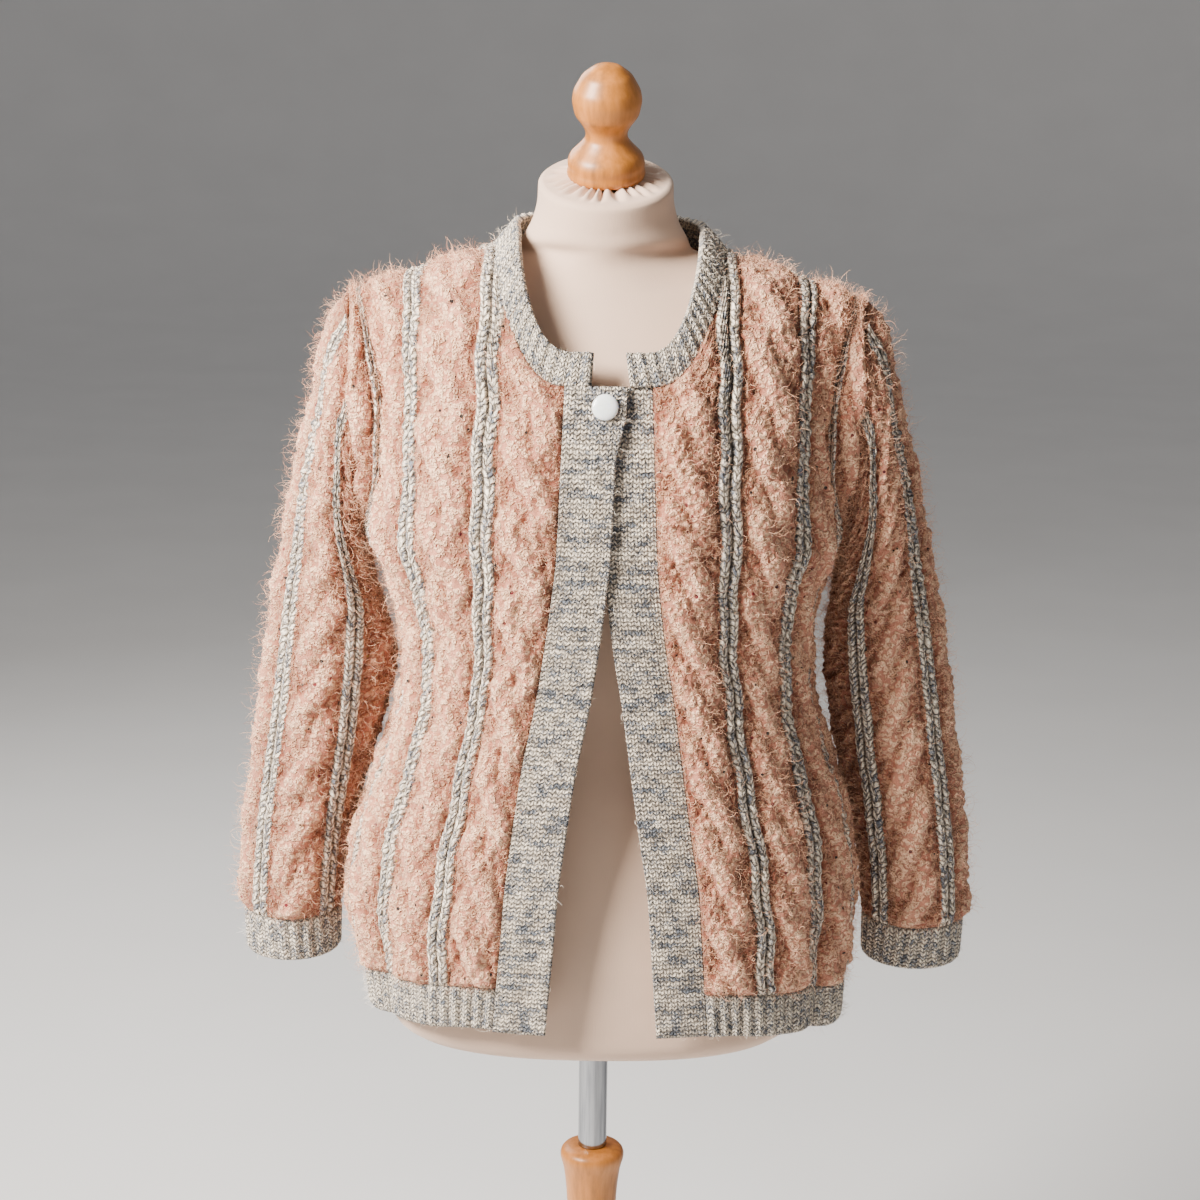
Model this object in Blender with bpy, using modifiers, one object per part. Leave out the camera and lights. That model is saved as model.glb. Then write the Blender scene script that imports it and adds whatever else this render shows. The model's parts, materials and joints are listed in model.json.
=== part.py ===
"""Cable knit cardigan on a limbless dress form with a turned wooden stand.

Sizes are metres and +Z is up. The garment faces -Y, so its own right side is at -X. Each knitted
piece is a closed wall: its inner face is plain, and its outer face carries the raised cables,
cords and ribs. Neighbouring pieces stay SEAM_GAP apart.
"""
import math
from collections import namedtuple

import bmesh
import bpy
import numpy as np

# Knitted fabric
WALL = 0.0035
SEAM_GAP = 0.0003
CORD_RAISE = 0.0036
CORD_GROOVE = 0.0008
CABLE_RAISE = 0.0060
CABLE_CROSSING = 0.0075
CABLE_HOLLOW = 0.0006
SEAM_ZONE = 0.041
SEAM_SIDE_SHARE = 0.60
ARMHOLE_SHARE = 0.20
RIB_RAISE = 0.0018

# Wales across one panel: a cable of two strands, and a stripe of two cords
CABLE_WIDTH = 0.044
STRIPE_WIDTH = 0.018
ROW_LENGTH = 0.031
FRONT_WIDTH = 3 * (CABLE_WIDTH + STRIPE_WIDTH) + CABLE_WIDTH / 2
BACK_CABLE_WIDTH = 0.042
BACK_STRIPE_WIDTH = 0.017
BACK_HALF_WIDTH = 4 * (BACK_CABLE_WIDTH + BACK_STRIPE_WIDTH)
FRONT_SHOULDER_END = FRONT_WIDTH - 0.040
BACK_SHOULDER_END = BACK_HALF_WIDTH - 0.040
FRONT_NECK_WALE = CABLE_WIDTH + STRIPE_WIDTH / 2
FRONT_STRIPE_WALE = 2 * CABLE_WIDTH + STRIPE_WIDTH * 1.5
BACK_NECK_WALE = 0.5 * BACK_CABLE_WIDTH + BACK_STRIPE_WIDTH + BACK_CABLE_WIDTH
LOWER_ROWS = 11
UPPER_ROWS = 9

# Body of the garment, as the inner face of the fabric
UNDERARM_HEIGHT = 1.090
SQUARENESS = 2.3
SHOULDER_X = 0.100
SHOULDER_HEIGHT = 1.301
SHOULDER_SLOPE = 0.322
NECKLINE_FRONT_HEIGHT = 1.2175
NECKLINE_BACK_HEIGHT = 1.315
ARMHOLE_HALF_DEPTH = 0.046
SHOULDER_SHARE = 0.950
ARMHOLE_SCOOP = 0.012
ROW_CROWDING = 0.07
HEM_RIB_HEIGHT = 0.036
HEM_RIB_PITCH = 0.0125
HEM_SIDE_DROP = 0.022
HEM_BACK_RISE = 0.004
HEM_LEFT_DROP = 0.004

# Front bands, neckband, cuffs and button
BAND_WIDTH = 0.040
BAND_TOP_WIDTH = 0.046
BAND_COLUMNS = 4
BAND_CROWN = 0.0004
NECKBAND_WIDTH = 0.026
NECKBAND_CROWN = 0.0010
NECKBAND_FRONT_ENDS = (0.0085, 0.0200)
CUFF_HEIGHT = 0.036
CUFF_RIBS = 22
BUTTON_RADIUS = 0.0100
BUTTON_HEIGHT = 1.2035
BUTTON_X = 0.002

# Sleeve wales, measured from the middle of the top of the sleeve
SLEEVE_TURN = 0.008
SLEEVE_SHRINK = 0.88
SLEEVE_ROWS = 18
SLEEVE_SQUARENESS = 2.2

# Dress form and stand
FORM_SEGMENTS = 28
NECK_CAP_HEIGHT = 1.361
NECK_TILT = math.radians(17.0)
SHOULDER_CLEARANCE = 0.0006
NECK_CLEARANCE = 0.006
FORM_BOTTOM = 0.675
POLE_RADIUS = 0.0120
COLLAR_TOP = 0.554
HUB_BOTTOM = 0.118
HUB_RADIUS = 0.034
LEG_COUNT = 3
LEG_REACH = 0.235
LEG_THICKNESS = 0.022
OBJECT_OFFSET = (-0.007, -0.044, 0.0)

RIGHT = -1
LEFT = 1
NECKBAND_ENDS = {RIGHT: NECKBAND_FRONT_ENDS[0], LEFT: NECKBAND_FRONT_ENDS[1]}

Side = namedtuple("Side", "name tip_x underarm_x neck_x stripe_x hem_front sleeve_out sleeve_in "
                          "band_lift")
SIDES = {
    RIGHT: Side("right", 0.197, 0.180, 0.083, 0.147, 0.7115, 0.000, 0.000, 0.0030),
    LEFT: Side("left", 0.202, 0.184, 0.091, 0.156, 0.7075, 0.014, 0.010, -0.0022),
}

# Inner face of the body at each height: reach to each side, depth to the front and back, and how
# far from the middle each front band is sewn on
BodyRow = namedtuple("BodyRow", "height right left front back edge_right edge_left")
BODY_ROWS = [
    BodyRow(0.660, 0.178, 0.198, 0.128, 0.126, 0.0800, 0.0910),
    BodyRow(0.700, 0.182, 0.2005, 0.129, 0.128, 0.0786, 0.0893),
    BodyRow(0.745, 0.188, 0.202, 0.131, 0.130, 0.0755, 0.0860),
    BodyRow(0.785, 0.1955, 0.2045, 0.133, 0.131, 0.0722, 0.0830),
    BodyRow(0.825, 0.1910, 0.2015, 0.133, 0.129, 0.0694, 0.0798),
    BodyRow(0.870, 0.1780, 0.1920, 0.132, 0.124, 0.0640, 0.0730),
    BodyRow(0.925, 0.1590, 0.1735, 0.131, 0.117, 0.0565, 0.0650),
    BodyRow(0.975, 0.1485, 0.1620, 0.130, 0.113, 0.0470, 0.0580),
    BodyRow(1.020, 0.1520, 0.1630, 0.131, 0.111, 0.0405, 0.0505),
    BodyRow(1.060, 0.1640, 0.1700, 0.133, 0.110, 0.0357, 0.0454),
    BodyRow(1.090, 0.1800, 0.1840, 0.133, 0.110, 0.0325, 0.0425),
    BodyRow(1.157, 0.1850, 0.1900, 0.133, 0.110, 0.0264, 0.0348),
    BodyRow(1.220, 0.1900, 0.1950, 0.133, 0.110, 0.0235, 0.0322),
]

# Soft vertical folds pressed into the body: place across each panel at the fold's foot and top,
# from 0 at the front band to 1 at the side seam and 2 at the middle of the back
Fold = namedtuple("Fold", "side foot top low high depth width")
BODY_FOLDS = [
    Fold(LEFT, 0.60, 0.46, 0.66, 0.93, 0.0085, 0.085),
    Fold(LEFT, 0.26, 0.24, 0.66, 0.84, -0.0040, 0.110),
    Fold(RIGHT, 0.62, 0.52, 0.66, 0.88, 0.0060, 0.090),
    Fold(RIGHT, 0.30, 0.26, 0.66, 0.86, -0.0040, 0.110),
    Fold(LEFT, 1.36, 1.42, 0.66, 0.96, 0.0070, 0.100),
    Fold(LEFT, 1.74, 1.70, 0.66, 0.90, -0.0050, 0.100),
    Fold(RIGHT, 1.40, 1.44, 0.66, 0.98, 0.0070, 0.100),
    Fold(RIGHT, 1.78, 1.72, 0.66, 0.92, -0.0050, 0.100),
]

# Inner face of a sleeve from armhole to cuff: outer and inner end of each section, half depth
# and how far back its middle lies
SleeveRow = namedtuple("SleeveRow", "outer_x outer_z inner_x inner_z half_depth back")
SLEEVE_TABLE = [
    SleeveRow(0.2095, 1.240, 0.1865, 1.083, 0.047, 0.001),
    SleeveRow(0.2170, 1.200, 0.1890, 1.072, 0.047, 0.003),
    SleeveRow(0.2275, 1.160, 0.1890, 1.060, 0.046, 0.006),
    SleeveRow(0.2375, 1.118, 0.1860, 1.043, 0.045, 0.010),
    SleeveRow(0.2465, 1.070, 0.1820, 1.018, 0.043, 0.014),
    SleeveRow(0.2565, 1.020, 0.1790, 0.985, 0.042, 0.018),
    SleeveRow(0.2655, 0.960, 0.1840, 0.940, 0.041, 0.022),
    SleeveRow(0.2755, 0.890, 0.1955, 0.880, 0.040, 0.026),
    SleeveRow(0.2845, 0.820, 0.2110, 0.815, 0.039, 0.029),
    SleeveRow(0.2885, 0.757, 0.2180, 0.757, 0.038, 0.030),
]
CUFF_ROW = SleeveRow(0.2870, 0.757 - CUFF_HEIGHT, 0.2190, 0.757 - CUFF_HEIGHT, 0.037, 0.030)

# Dress form: half width and depths at each height
FormRow = namedtuple("FormRow", "height half_width front back squareness")
FORM_ROWS = [
    FormRow(0.675, 0.158, 0.100, 0.098, 2.5),
    FormRow(0.681, 0.165, 0.107, 0.105, 2.5),
    FormRow(0.692, 0.169, 0.111, 0.109, 2.5),
    FormRow(0.740, 0.169, 0.111, 0.112, 2.5),
    FormRow(0.810, 0.161, 0.104, 0.109, 2.4),
    FormRow(0.875, 0.140, 0.094, 0.096, 2.3),
    FormRow(0.935, 0.121, 0.086, 0.085, 2.3),
    FormRow(0.995, 0.128, 0.096, 0.085, 2.3),
    FormRow(1.045, 0.140, 0.112, 0.088, 2.3),
    FormRow(1.095, 0.150, 0.121, 0.092, 2.3),
    FormRow(1.140, 0.156, 0.117, 0.094, 2.3),
    FormRow(1.185, 0.166, 0.106, 0.090, 2.2),
    FormRow(1.225, 0.176, 0.088, 0.080, 2.1),
    FormRow(1.255, 0.181, 0.068, 0.078, 1.9),
]
NECK_ROWS = [
    FormRow(1.318, 0.0630, 0.052, 0.053, 1.85),
    FormRow(1.331, 0.0560, 0.052, 0.053, 2.0),
    FormRow(1.346, 0.0525, 0.053, 0.053, 2.0),
    FormRow(1.358, 0.0520, 0.054, 0.054, 2.0),
    FormRow(1.361, 0.0490, 0.051, 0.051, 2.0),
]

Finish = namedtuple("Finish", "colour roughness metallic")
FINISHES = {
    "mohair_pink": Finish((0.66, 0.41, 0.34, 1.0), 0.95, 0.0),
    "marl_yarn": Finish((0.55, 0.52, 0.48, 1.0), 0.90, 0.0),
    "pearl_button": Finish((0.90, 0.89, 0.87, 1.0), 0.25, 0.0),
    "cream_jersey": Finish((0.74, 0.68, 0.62, 1.0), 0.85, 0.0),
    "honey_wood": Finish((0.62, 0.33, 0.13, 1.0), 0.45, 0.0),
    "chrome_pole": Finish((0.75, 0.75, 0.76, 1.0), 0.12, 1.0),
}

Column = namedtuple("Column", "wale even odd keep")


def clear_scene():
    """Remove every object, so that the build starts from an empty file."""
    for item in list(bpy.data.objects):
        bpy.data.objects.remove(item, do_unlink=True)


def smooth(places, values, at):
    """Value at a place on a smooth curve through the table's values, without overshoot."""
    places = np.asarray(places, float)
    values = np.asarray(values, float)
    at = np.clip(np.asarray(at, float), places[0], places[-1])
    steps = np.diff(places)
    rates = np.diff(values) / steps
    slopes = np.zeros_like(values)
    slopes[0] = rates[0]
    slopes[-1] = rates[-1]
    for index in range(1, len(places) - 1):
        if rates[index - 1] * rates[index] > 0:
            slopes[index] = 2.0 / (1.0 / rates[index - 1] + 1.0 / rates[index])
    index = np.clip(np.searchsorted(places, at, side="right") - 1, 0, len(steps) - 1)
    share = (at - places[index]) / steps[index]
    rise = share * share * (3.0 - 2.0 * share)
    start = share * (1.0 - share) ** 2 * slopes[index] * steps[index]
    end = share * share * (share - 1.0) * slopes[index + 1] * steps[index]
    return values[index] * (1.0 - rise) + values[index + 1] * rise + start + end


def body_value(name, height):
    """One column of the body table at a height."""
    heights = [row.height for row in BODY_ROWS]
    return float(smooth(heights, [getattr(row, name) for row in BODY_ROWS], height))


def ease(value):
    """Soft step from 0 to 1."""
    value = min(max(value, 0.0), 1.0)
    return value * value * (3.0 - 2.0 * value)


def unit(vector):
    """The vector at length one."""
    vector = np.asarray(vector, float)
    return vector / np.linalg.norm(vector, axis=-1, keepdims=True)


def quarter_arc(half_width, depth, start, share):
    """Point at a share of the length of a quarter oval, from a start angle to its widest place."""
    angles = np.linspace(start, math.pi / 2, 61)
    across = half_width * np.sin(angles) ** (2 / SQUARENESS)
    along = depth * np.cos(angles).clip(0.0) ** (2 / SQUARENESS)
    lengths = np.concatenate([[0.0], np.cumsum(np.hypot(np.diff(across), np.diff(along)))])
    place = share * lengths[-1]
    return float(np.interp(place, lengths, across)), float(np.interp(place, lengths, along))


def fold_offset(side, turn, height):
    """How far the fabric is pressed in, negative where it stands out, by the folds."""
    offset = 0.0
    for fold in BODY_FOLDS:
        if fold.side != side or height > fold.high:
            continue
        share = (height - fold.low) / (fold.high - fold.low)
        centre = fold.foot + (fold.top - fold.foot) * share
        fade = ease((1.0 - share) * 1.6)
        offset += fold.depth * fade * math.exp(-((turn - centre) / fold.width) ** 2)
    return offset


def body_point(side, turn, height):
    """Inner face of the body below the underarm; turn is 0 at the band, 1 at the side, 2 behind."""
    reach = body_value(SIDES[side].name, height)
    if turn <= 1.0:
        depth = body_value("front", height)
        edge = body_value("edge_" + SIDES[side].name, height)
        start = math.asin((edge / reach) ** (SQUARENESS / 2))
        across, along = quarter_arc(reach, depth, start, turn)
        along = -along
    else:
        depth = body_value("back", height)
        across, along = quarter_arc(reach, depth, 0.0, 2.0 - turn)
    pressed = fold_offset(side, turn, height)
    if pressed:
        outward = unit([across / reach ** 2, along / depth ** 2])
        across -= pressed * outward[0]
        along -= pressed * outward[1]
    return np.array([side * across, along, height])


def shoulder_line(across):
    """Height of the shoulder seam at a distance from the middle."""
    return SHOULDER_HEIGHT - SHOULDER_SLOPE * (across - SHOULDER_X)


def armhole_frame(side):
    """Middle, long half axis and outward direction of the flat oval armhole."""
    data = SIDES[side]
    low = np.array([side * data.underarm_x, 0.0, UNDERARM_HEIGHT])
    high = np.array([side * data.tip_x, 0.0, shoulder_line(data.tip_x)])
    long_axis = (high - low) / 2
    up = unit(long_axis)
    outward = np.array([side * up[2], 0.0, -side * up[0]])
    return (high + low) / 2, long_axis, outward


def top_x(side, wale, front):
    """Distance from the middle at which a wale reaches the shoulder line."""
    data = SIDES[side]
    near_tip = data.tip_x * SHOULDER_SHARE
    if front:
        edge = body_value("edge_" + data.name, NECKLINE_FRONT_HEIGHT)
        places = [0.0, FRONT_NECK_WALE, FRONT_STRIPE_WALE, FRONT_SHOULDER_END, FRONT_WIDTH]
        reaches = [edge, data.neck_x, data.stripe_x, near_tip, data.tip_x]
    else:
        places = [0.0, BACK_NECK_WALE, BACK_SHOULDER_END, BACK_HALF_WIDTH]
        reaches = [0.0, data.neck_x, near_tip, data.tip_x]
    return float(np.interp(wale, places, reaches))


def upper_roundness(wale, front):
    """Exponent of the quarter oval that a wale follows from the underarm to the shoulder."""
    if front:
        return 2.05 + 0.25 * wale / FRONT_WIDTH
    return 3.0 - 0.7 * wale / BACK_HALF_WIDTH


def neckline_share(side, wale, front):
    """Share of the rise to the shoulder line at which a wale ends in the neckline."""
    limit = FRONT_NECK_WALE if front else BACK_NECK_WALE
    if wale >= limit:
        return 1.0
    top = shoulder_line(top_x(side, wale, front))
    side_height = shoulder_line(top_x(side, limit, front))
    place = wale / limit
    if front:
        climb = place ** 2.4
        height = NECKLINE_FRONT_HEIGHT + (side_height - NECKLINE_FRONT_HEIGHT) * climb
    else:
        height = side_height + (NECKLINE_BACK_HEIGHT - side_height) * (1.0 - place) ** 2
    return (height - UNDERARM_HEIGHT) / (top - UNDERARM_HEIGHT)


def top_angle(side, wale, front):
    """Angle on the quarter oval at which a wale ends."""
    full = min(neckline_share(side, wale, front), 1.0)
    return math.asin(full ** (upper_roundness(wale, front) / 2))


def upper_point(side, wale, front, angle):
    """Inner face of the body above the underarm; the angle is 0 there and a quarter turn on top."""
    width = FRONT_WIDTH if front else BACK_HALF_WIDTH
    turn = wale / width if front else 2.0 - wale / width
    foot = body_point(side, turn, UNDERARM_HEIGHT)
    roundness = upper_roundness(wale, front)
    top = top_x(side, wale, front)
    rise = math.sin(angle) ** (2 / roundness)
    lean = max(math.cos(angle), 0.0) ** (2 / roundness)
    height = UNDERARM_HEIGHT + (shoulder_line(top) - UNDERARM_HEIGHT) * rise
    across = foot[0] + (side * top - foot[0]) * rise
    edge = ease((wale / width - 0.72) / 0.28)
    soft = max(4.0 * rise * (1.0 - rise), 0.0)
    oval = math.sqrt(soft)
    blend = (wale / width) ** 12
    near = min(max((wale / width - 0.5) * 2.0, 0.0), 1.0)
    across -= side * ARMHOLE_SCOOP * soft * 4.0 * near * (1.0 - near)
    bulge = ARMHOLE_HALF_DEPTH * edge * (oval * blend + soft * (1.0 - blend))
    along = foot[1] * lean + (-bulge if front else bulge)
    return np.array([across, along, height])


def upper_direction(side, wale, front, angle):
    """Outward direction of the upper body, from two lines that cross it nearly at right angles."""
    width = FRONT_WIDTH if front else BACK_HALF_WIDTH
    near = max(wale - 0.006, 0.0)
    far = min(wale + 0.006, width)
    low = max(angle - 0.06, 0.0)
    high = min(angle + 0.06, math.pi / 2)
    across = upper_point(side, far, front, angle) - upper_point(side, near, front, angle)
    along = upper_point(side, wale, front, high) - upper_point(side, wale, front, low)
    direction = unit(np.cross(across, along))
    forward = -direction[1] if front else direction[1]
    return direction if forward + direction[2] > 0 else -direction


def hem_height(side, turn):
    """Lower edge of the hem rib; the fronts are a little higher than the sides."""
    front = SIDES[side].hem_front
    side_height = (SIDES[RIGHT].hem_front + SIDES[LEFT].hem_front) / 2 - HEM_SIDE_DROP
    side_height -= HEM_LEFT_DROP * side
    middle = (SIDES[RIGHT].hem_front + SIDES[LEFT].hem_front) / 2 - HEM_SIDE_DROP + HEM_BACK_RISE
    if turn <= 1.0:
        return front + (side_height - front) * ease(turn)
    return side_height + (middle - side_height) * ease(turn - 1.0)


def cable_columns(start, width):
    """Columns across a cable of two strands, from its left edge to its right edge."""
    rows = []
    for step in range(5):
        even = (0.0, CABLE_RAISE, CABLE_HOLLOW, CABLE_RAISE, 0.0)[step]
        odd = (0.0, CABLE_RAISE * 0.35, CABLE_CROSSING, CABLE_RAISE * 0.35, 0.0)[step]
        rows.append(Column(start + width * step / 4, even, odd, step != 1 and step != 3))
    return rows


def cord_columns(start, width):
    """Columns across a stripe of two raised cords with a groove between them."""
    heights = (0.0, CORD_RAISE, CORD_GROOVE, CORD_RAISE, 0.0)
    return [
        Column(start + width * step / 4, heights[step], heights[step], step in (0, 4))
        for step in range(5)
    ]


def joined_columns(groups, low, high):
    """Columns of neighbouring groups in one list, cut to a range, with plain ends."""
    columns = []
    for column in [column for group in groups for column in group]:
        if column.wale < low - 1e-6 or column.wale > high + 1e-6:
            continue
        if columns and abs(columns[-1].wale - column.wale) < 1e-6:
            continue
        columns.append(column)
    columns[0] = Column(columns[0].wale, 0.0, 0.0, True)
    columns[-1] = Column(columns[-1].wale, 0.0, 0.0, True)
    return columns


def front_columns():
    """Columns of one front from the band to the side seam."""
    groups = []
    start = 0.0
    for _ in range(3):
        groups.append(cable_columns(start, CABLE_WIDTH))
        groups.append(cord_columns(start + CABLE_WIDTH, STRIPE_WIDTH))
        start += CABLE_WIDTH + STRIPE_WIDTH
    groups.append(cable_columns(start, CABLE_WIDTH))
    return joined_columns(groups, 0.0, FRONT_WIDTH)


def back_columns():
    """Columns of the back from the right side seam to the left one."""
    pitch = BACK_CABLE_WIDTH + BACK_STRIPE_WIDTH
    groups = []
    for repeat in range(-4, 5):
        centre = repeat * pitch
        groups.append(cable_columns(centre - BACK_CABLE_WIDTH / 2, BACK_CABLE_WIDTH))
        groups.append(cord_columns(centre + BACK_CABLE_WIDTH / 2, BACK_STRIPE_WIDTH))
    return joined_columns(groups, -BACK_HALF_WIDTH, BACK_HALF_WIDTH)


def grid_directions(points, closed=False):
    """Outward unit normals of a grid of points, rows by columns."""
    if closed:
        across = np.roll(points, -1, axis=1) - np.roll(points, 1, axis=1)
    else:
        across = np.gradient(points, axis=1)
    along = np.gradient(points, axis=0)
    return unit(np.cross(across, along))


def turned_outward(directions, points, centre):
    """Turn the directions over where they point to the centre line."""
    away = points[..., :2] - np.asarray(centre)[..., :2]
    agree = np.sum(directions[..., :2] * away, axis=-1)
    return -directions if np.sum(agree) < 0 else directions


def loft_wall(name, outer, inner, keep_rows, keep_columns, finish, closed=False, lean=True):
    """Closed wall between a fine outer grid and a plain inner grid on some of its points."""
    mesh = bmesh.new()
    row_count, column_count = outer.shape[:2]
    outer_points = [[mesh.verts.new(point) for point in row] for row in outer]
    inner_points = {
        (row, column): mesh.verts.new(inner[row, column])
        for row in keep_rows
        for column in keep_columns
    }
    wrap = 1 if closed else 0
    for row in range(row_count - 1):
        for column in range(column_count - 1 + wrap):
            near = column
            far = (column + 1) % column_count
            corner = [outer_points[row][near], outer_points[row][far],
                      outer_points[row + 1][far], outer_points[row + 1][near]]
            falling = (corner[1].co - corner[3].co).length
            rising = (corner[0].co - corner[2].co).length
            cut = falling < rising if max(falling, rising) > 1.35 * min(falling, rising) else lean
            if cut:
                mesh.faces.new((corner[0], corner[1], corner[3]))
                mesh.faces.new((corner[1], corner[2], corner[3]))
            else:
                mesh.faces.new((corner[0], corner[1], corner[2]))
                mesh.faces.new((corner[0], corner[2], corner[3]))
    column_pairs = list(zip(keep_columns[:-1], keep_columns[1:]))
    if closed:
        column_pairs.append((keep_columns[-1], keep_columns[0]))
    for low, high in zip(keep_rows[:-1], keep_rows[1:]):
        for near, far in column_pairs:
            mesh.faces.new((inner_points[low, far], inner_points[low, near],
                            inner_points[high, near]))
            mesh.faces.new((inner_points[low, far], inner_points[high, near],
                            inner_points[high, far]))
    for row in (0, row_count - 1):
        for near, far in column_pairs:
            last = far if far > near else far + column_count
            edge = [outer_points[row][place % column_count] for place in range(near, last + 1)]
            rim_faces(mesh, edge, inner_points[row, near], inner_points[row, far])
    if not closed:
        for column in (0, column_count - 1):
            for low, high in zip(keep_rows[:-1], keep_rows[1:]):
                edge = [outer_points[place][column] for place in range(low, high + 1)]
                rim_faces(mesh, edge, inner_points[low, column], inner_points[high, column])
    return mesh_object(name, mesh, finish)


def rim_faces(mesh, edge, first, last):
    """Triangles between a run of outer points and the two inner points below its ends."""
    middle = (len(edge) - 1) // 2
    for place in range(len(edge) - 1):
        mesh.faces.new((edge[place], edge[place + 1], first if place < middle else last))
    mesh.faces.new((first, edge[middle], last))


def mesh_object(name, mesh, finish):
    """Object from a closed bmesh with its faces turned outward."""
    bmesh.ops.recalc_face_normals(mesh, faces=mesh.faces[:])
    data = bpy.data.meshes.new(name)
    mesh.to_mesh(data)
    mesh.free()
    return place_object(name, data, finish)


def place_object(name, data, finish):
    """Object with a material in the model's collection."""
    item = bpy.data.objects.new(name, data)
    data.materials.append(material(finish))
    model_collection().objects.link(item)
    item.parent = bpy.data.objects.get("cardigan_origin")
    return item


def model_collection():
    """The collection that holds every part of the object."""
    name = "cable_knit_cardigan_on_dress_form"
    found = bpy.data.collections.get(name)
    if found is None:
        found = bpy.data.collections.new(name)
        bpy.context.scene.collection.children.link(found)
    return found


def material(name):
    """Principled material with the finish's colour, roughness and metallic value."""
    found = bpy.data.materials.get(name)
    if found is None:
        found = bpy.data.materials.new(name)
        found.use_nodes = True
        shader = found.node_tree.nodes["Principled BSDF"]
        shader.inputs["Base Color"].default_value = FINISHES[name].colour
        shader.inputs["Roughness"].default_value = FINISHES[name].roughness
        shader.inputs["Metallic"].default_value = FINISHES[name].metallic
        found.diffuse_color = FINISHES[name].colour
    return found


def relief_grid(columns, row_count, width, neck_wale):
    """Raised height of each outer point, with crossings on every second row."""
    heights = np.zeros((row_count, len(columns)))
    for row in range(row_count):
        for index, column in enumerate(columns):
            heights[row, index] = column.odd if row % 2 else column.even
            if abs(column.wale) > width - SEAM_ZONE:
                heights[row, index] *= SEAM_SIDE_SHARE if row < LOWER_ROWS - 2 else ARMHOLE_SHARE
            if abs(column.wale) <= neck_wale + STRIPE_WIDTH / 2:
                heights[row, index] *= min((row_count - 1 - row) / 2, 1.0)
    return heights


def armhole_direction(side, point):
    """Direction of the fabric's thickness at the armhole, in the flat of the armhole."""
    centre, long_axis, _ = armhole_frame(side)
    length = np.linalg.norm(long_axis)
    up = long_axis / length
    offset = point - centre
    return unit(up * np.dot(offset, up) / length ** 2
                + np.array([0.0, offset[1] / ARMHOLE_HALF_DEPTH ** 2, 0.0]))


def panel_grid(wales, front):
    """Inner face of a front or the back: points for each row and signed wale."""
    points = np.zeros((LOWER_ROWS + UPPER_ROWS + 1, len(wales), 3))
    for index, (side, wale) in enumerate(wales):
        width = FRONT_WIDTH if front else BACK_HALF_WIDTH
        turn = wale / width if front else 2.0 - wale / width
        foot = hem_height(side, turn) + HEM_RIB_HEIGHT + SEAM_GAP / 2
        for row in range(LOWER_ROWS + 1):
            height = foot + (UNDERARM_HEIGHT - foot) * row / LOWER_ROWS
            points[row, index] = body_point(side, turn, height)
        for row in range(1, UPPER_ROWS + 1):
            angle = row_angle(side, wale, front, row)
            points[LOWER_ROWS + row, index] = upper_point(side, wale, front, angle)
    return points


def row_angle(side, wale, front, row):
    """Angle on the quarter oval of one of the upper rows, closer together at both ends."""
    share = row / UPPER_ROWS
    share -= ROW_CROWDING * math.sin(2 * math.pi * share)
    return top_angle(side, wale, front) * share


def set_panel_edges(points, directions, wales, front):
    """Seam edges: thickness directions in the seam's plane, and half of the seam's gap."""
    limit = FRONT_NECK_WALE if front else BACK_NECK_WALE
    sign = -1.0 if front else 1.0
    width = FRONT_WIDTH if front else BACK_HALF_WIDTH
    for index, (side, wale) in enumerate(wales):
        for row in range(1, UPPER_ROWS + 1):
            angle = row_angle(side, wale, front, row)
            directions[LOWER_ROWS + row, index] = upper_direction(side, wale, front, angle)
    for index, (side, wale) in enumerate(wales):
        if wale >= limit - 1e-6:
            directions[-1, index] = unit([side * SHOULDER_SLOPE, 0.0, 1.0])
            points[-1, index, 1] = sign * SEAM_GAP / 2
        directions[0, index, 2] = 0.0
        directions[0, index] = unit(directions[0, index])
        if abs(wale - width) > 1e-6:
            continue
        for row in range(len(points)):
            if row < LOWER_ROWS:
                directions[row, index, 1] = 0.0
                directions[row, index] = unit(directions[row, index])
            else:
                directions[row, index] = armhole_direction(side, points[row, index])
            if row <= LOWER_ROWS or row == len(points) - 1:
                points[row, index, 1] = sign * SEAM_GAP / 2
        inward = index - 1 if index and abs(wales[index - 1][1]) < wale else index + 1
        for row in range(LOWER_ROWS, len(points) - 1):
            share = 0.1 if row == LOWER_ROWS else 1.0
            directions[row, inward] = unit(directions[row, inward] * share + directions[row, index])


def all_rows(grid):
    """Every row of a grid, for the plain inner face."""
    return list(range(len(grid)))


def front_wales(side):
    """Signed wales of one front."""
    return [(side, column.wale) for column in front_columns()]


def back_wales():
    """Signed wales of the back."""
    return [(RIGHT if column.wale < 0 else LEFT, abs(column.wale)) for column in back_columns()]


def front_surface(side):
    """Inner points and thickness directions of one front."""
    wales = front_wales(side)
    points = panel_grid(wales, True)
    directions = grid_directions(points)
    directions = turned_outward(directions, points, (0.0, 0.0, 0.0))
    set_panel_edges(points, directions, wales, True)
    return points, directions


def back_surface():
    """Inner points and thickness directions of the back."""
    wales = back_wales()
    points = panel_grid(wales, False)
    directions = grid_directions(points)
    directions = turned_outward(directions, points, (0.0, 0.0, 0.0))
    set_panel_edges(points, directions, wales, False)
    return points, directions


def kept(columns, neck_wale):
    """Places of the columns that the plain inner face uses, with each one that ends at the neck."""
    return [index for index, column in enumerate(columns)
            if column.keep or abs(column.wale) <= neck_wale + 1e-6
            or index in (1, len(columns) - 2)]


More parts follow.
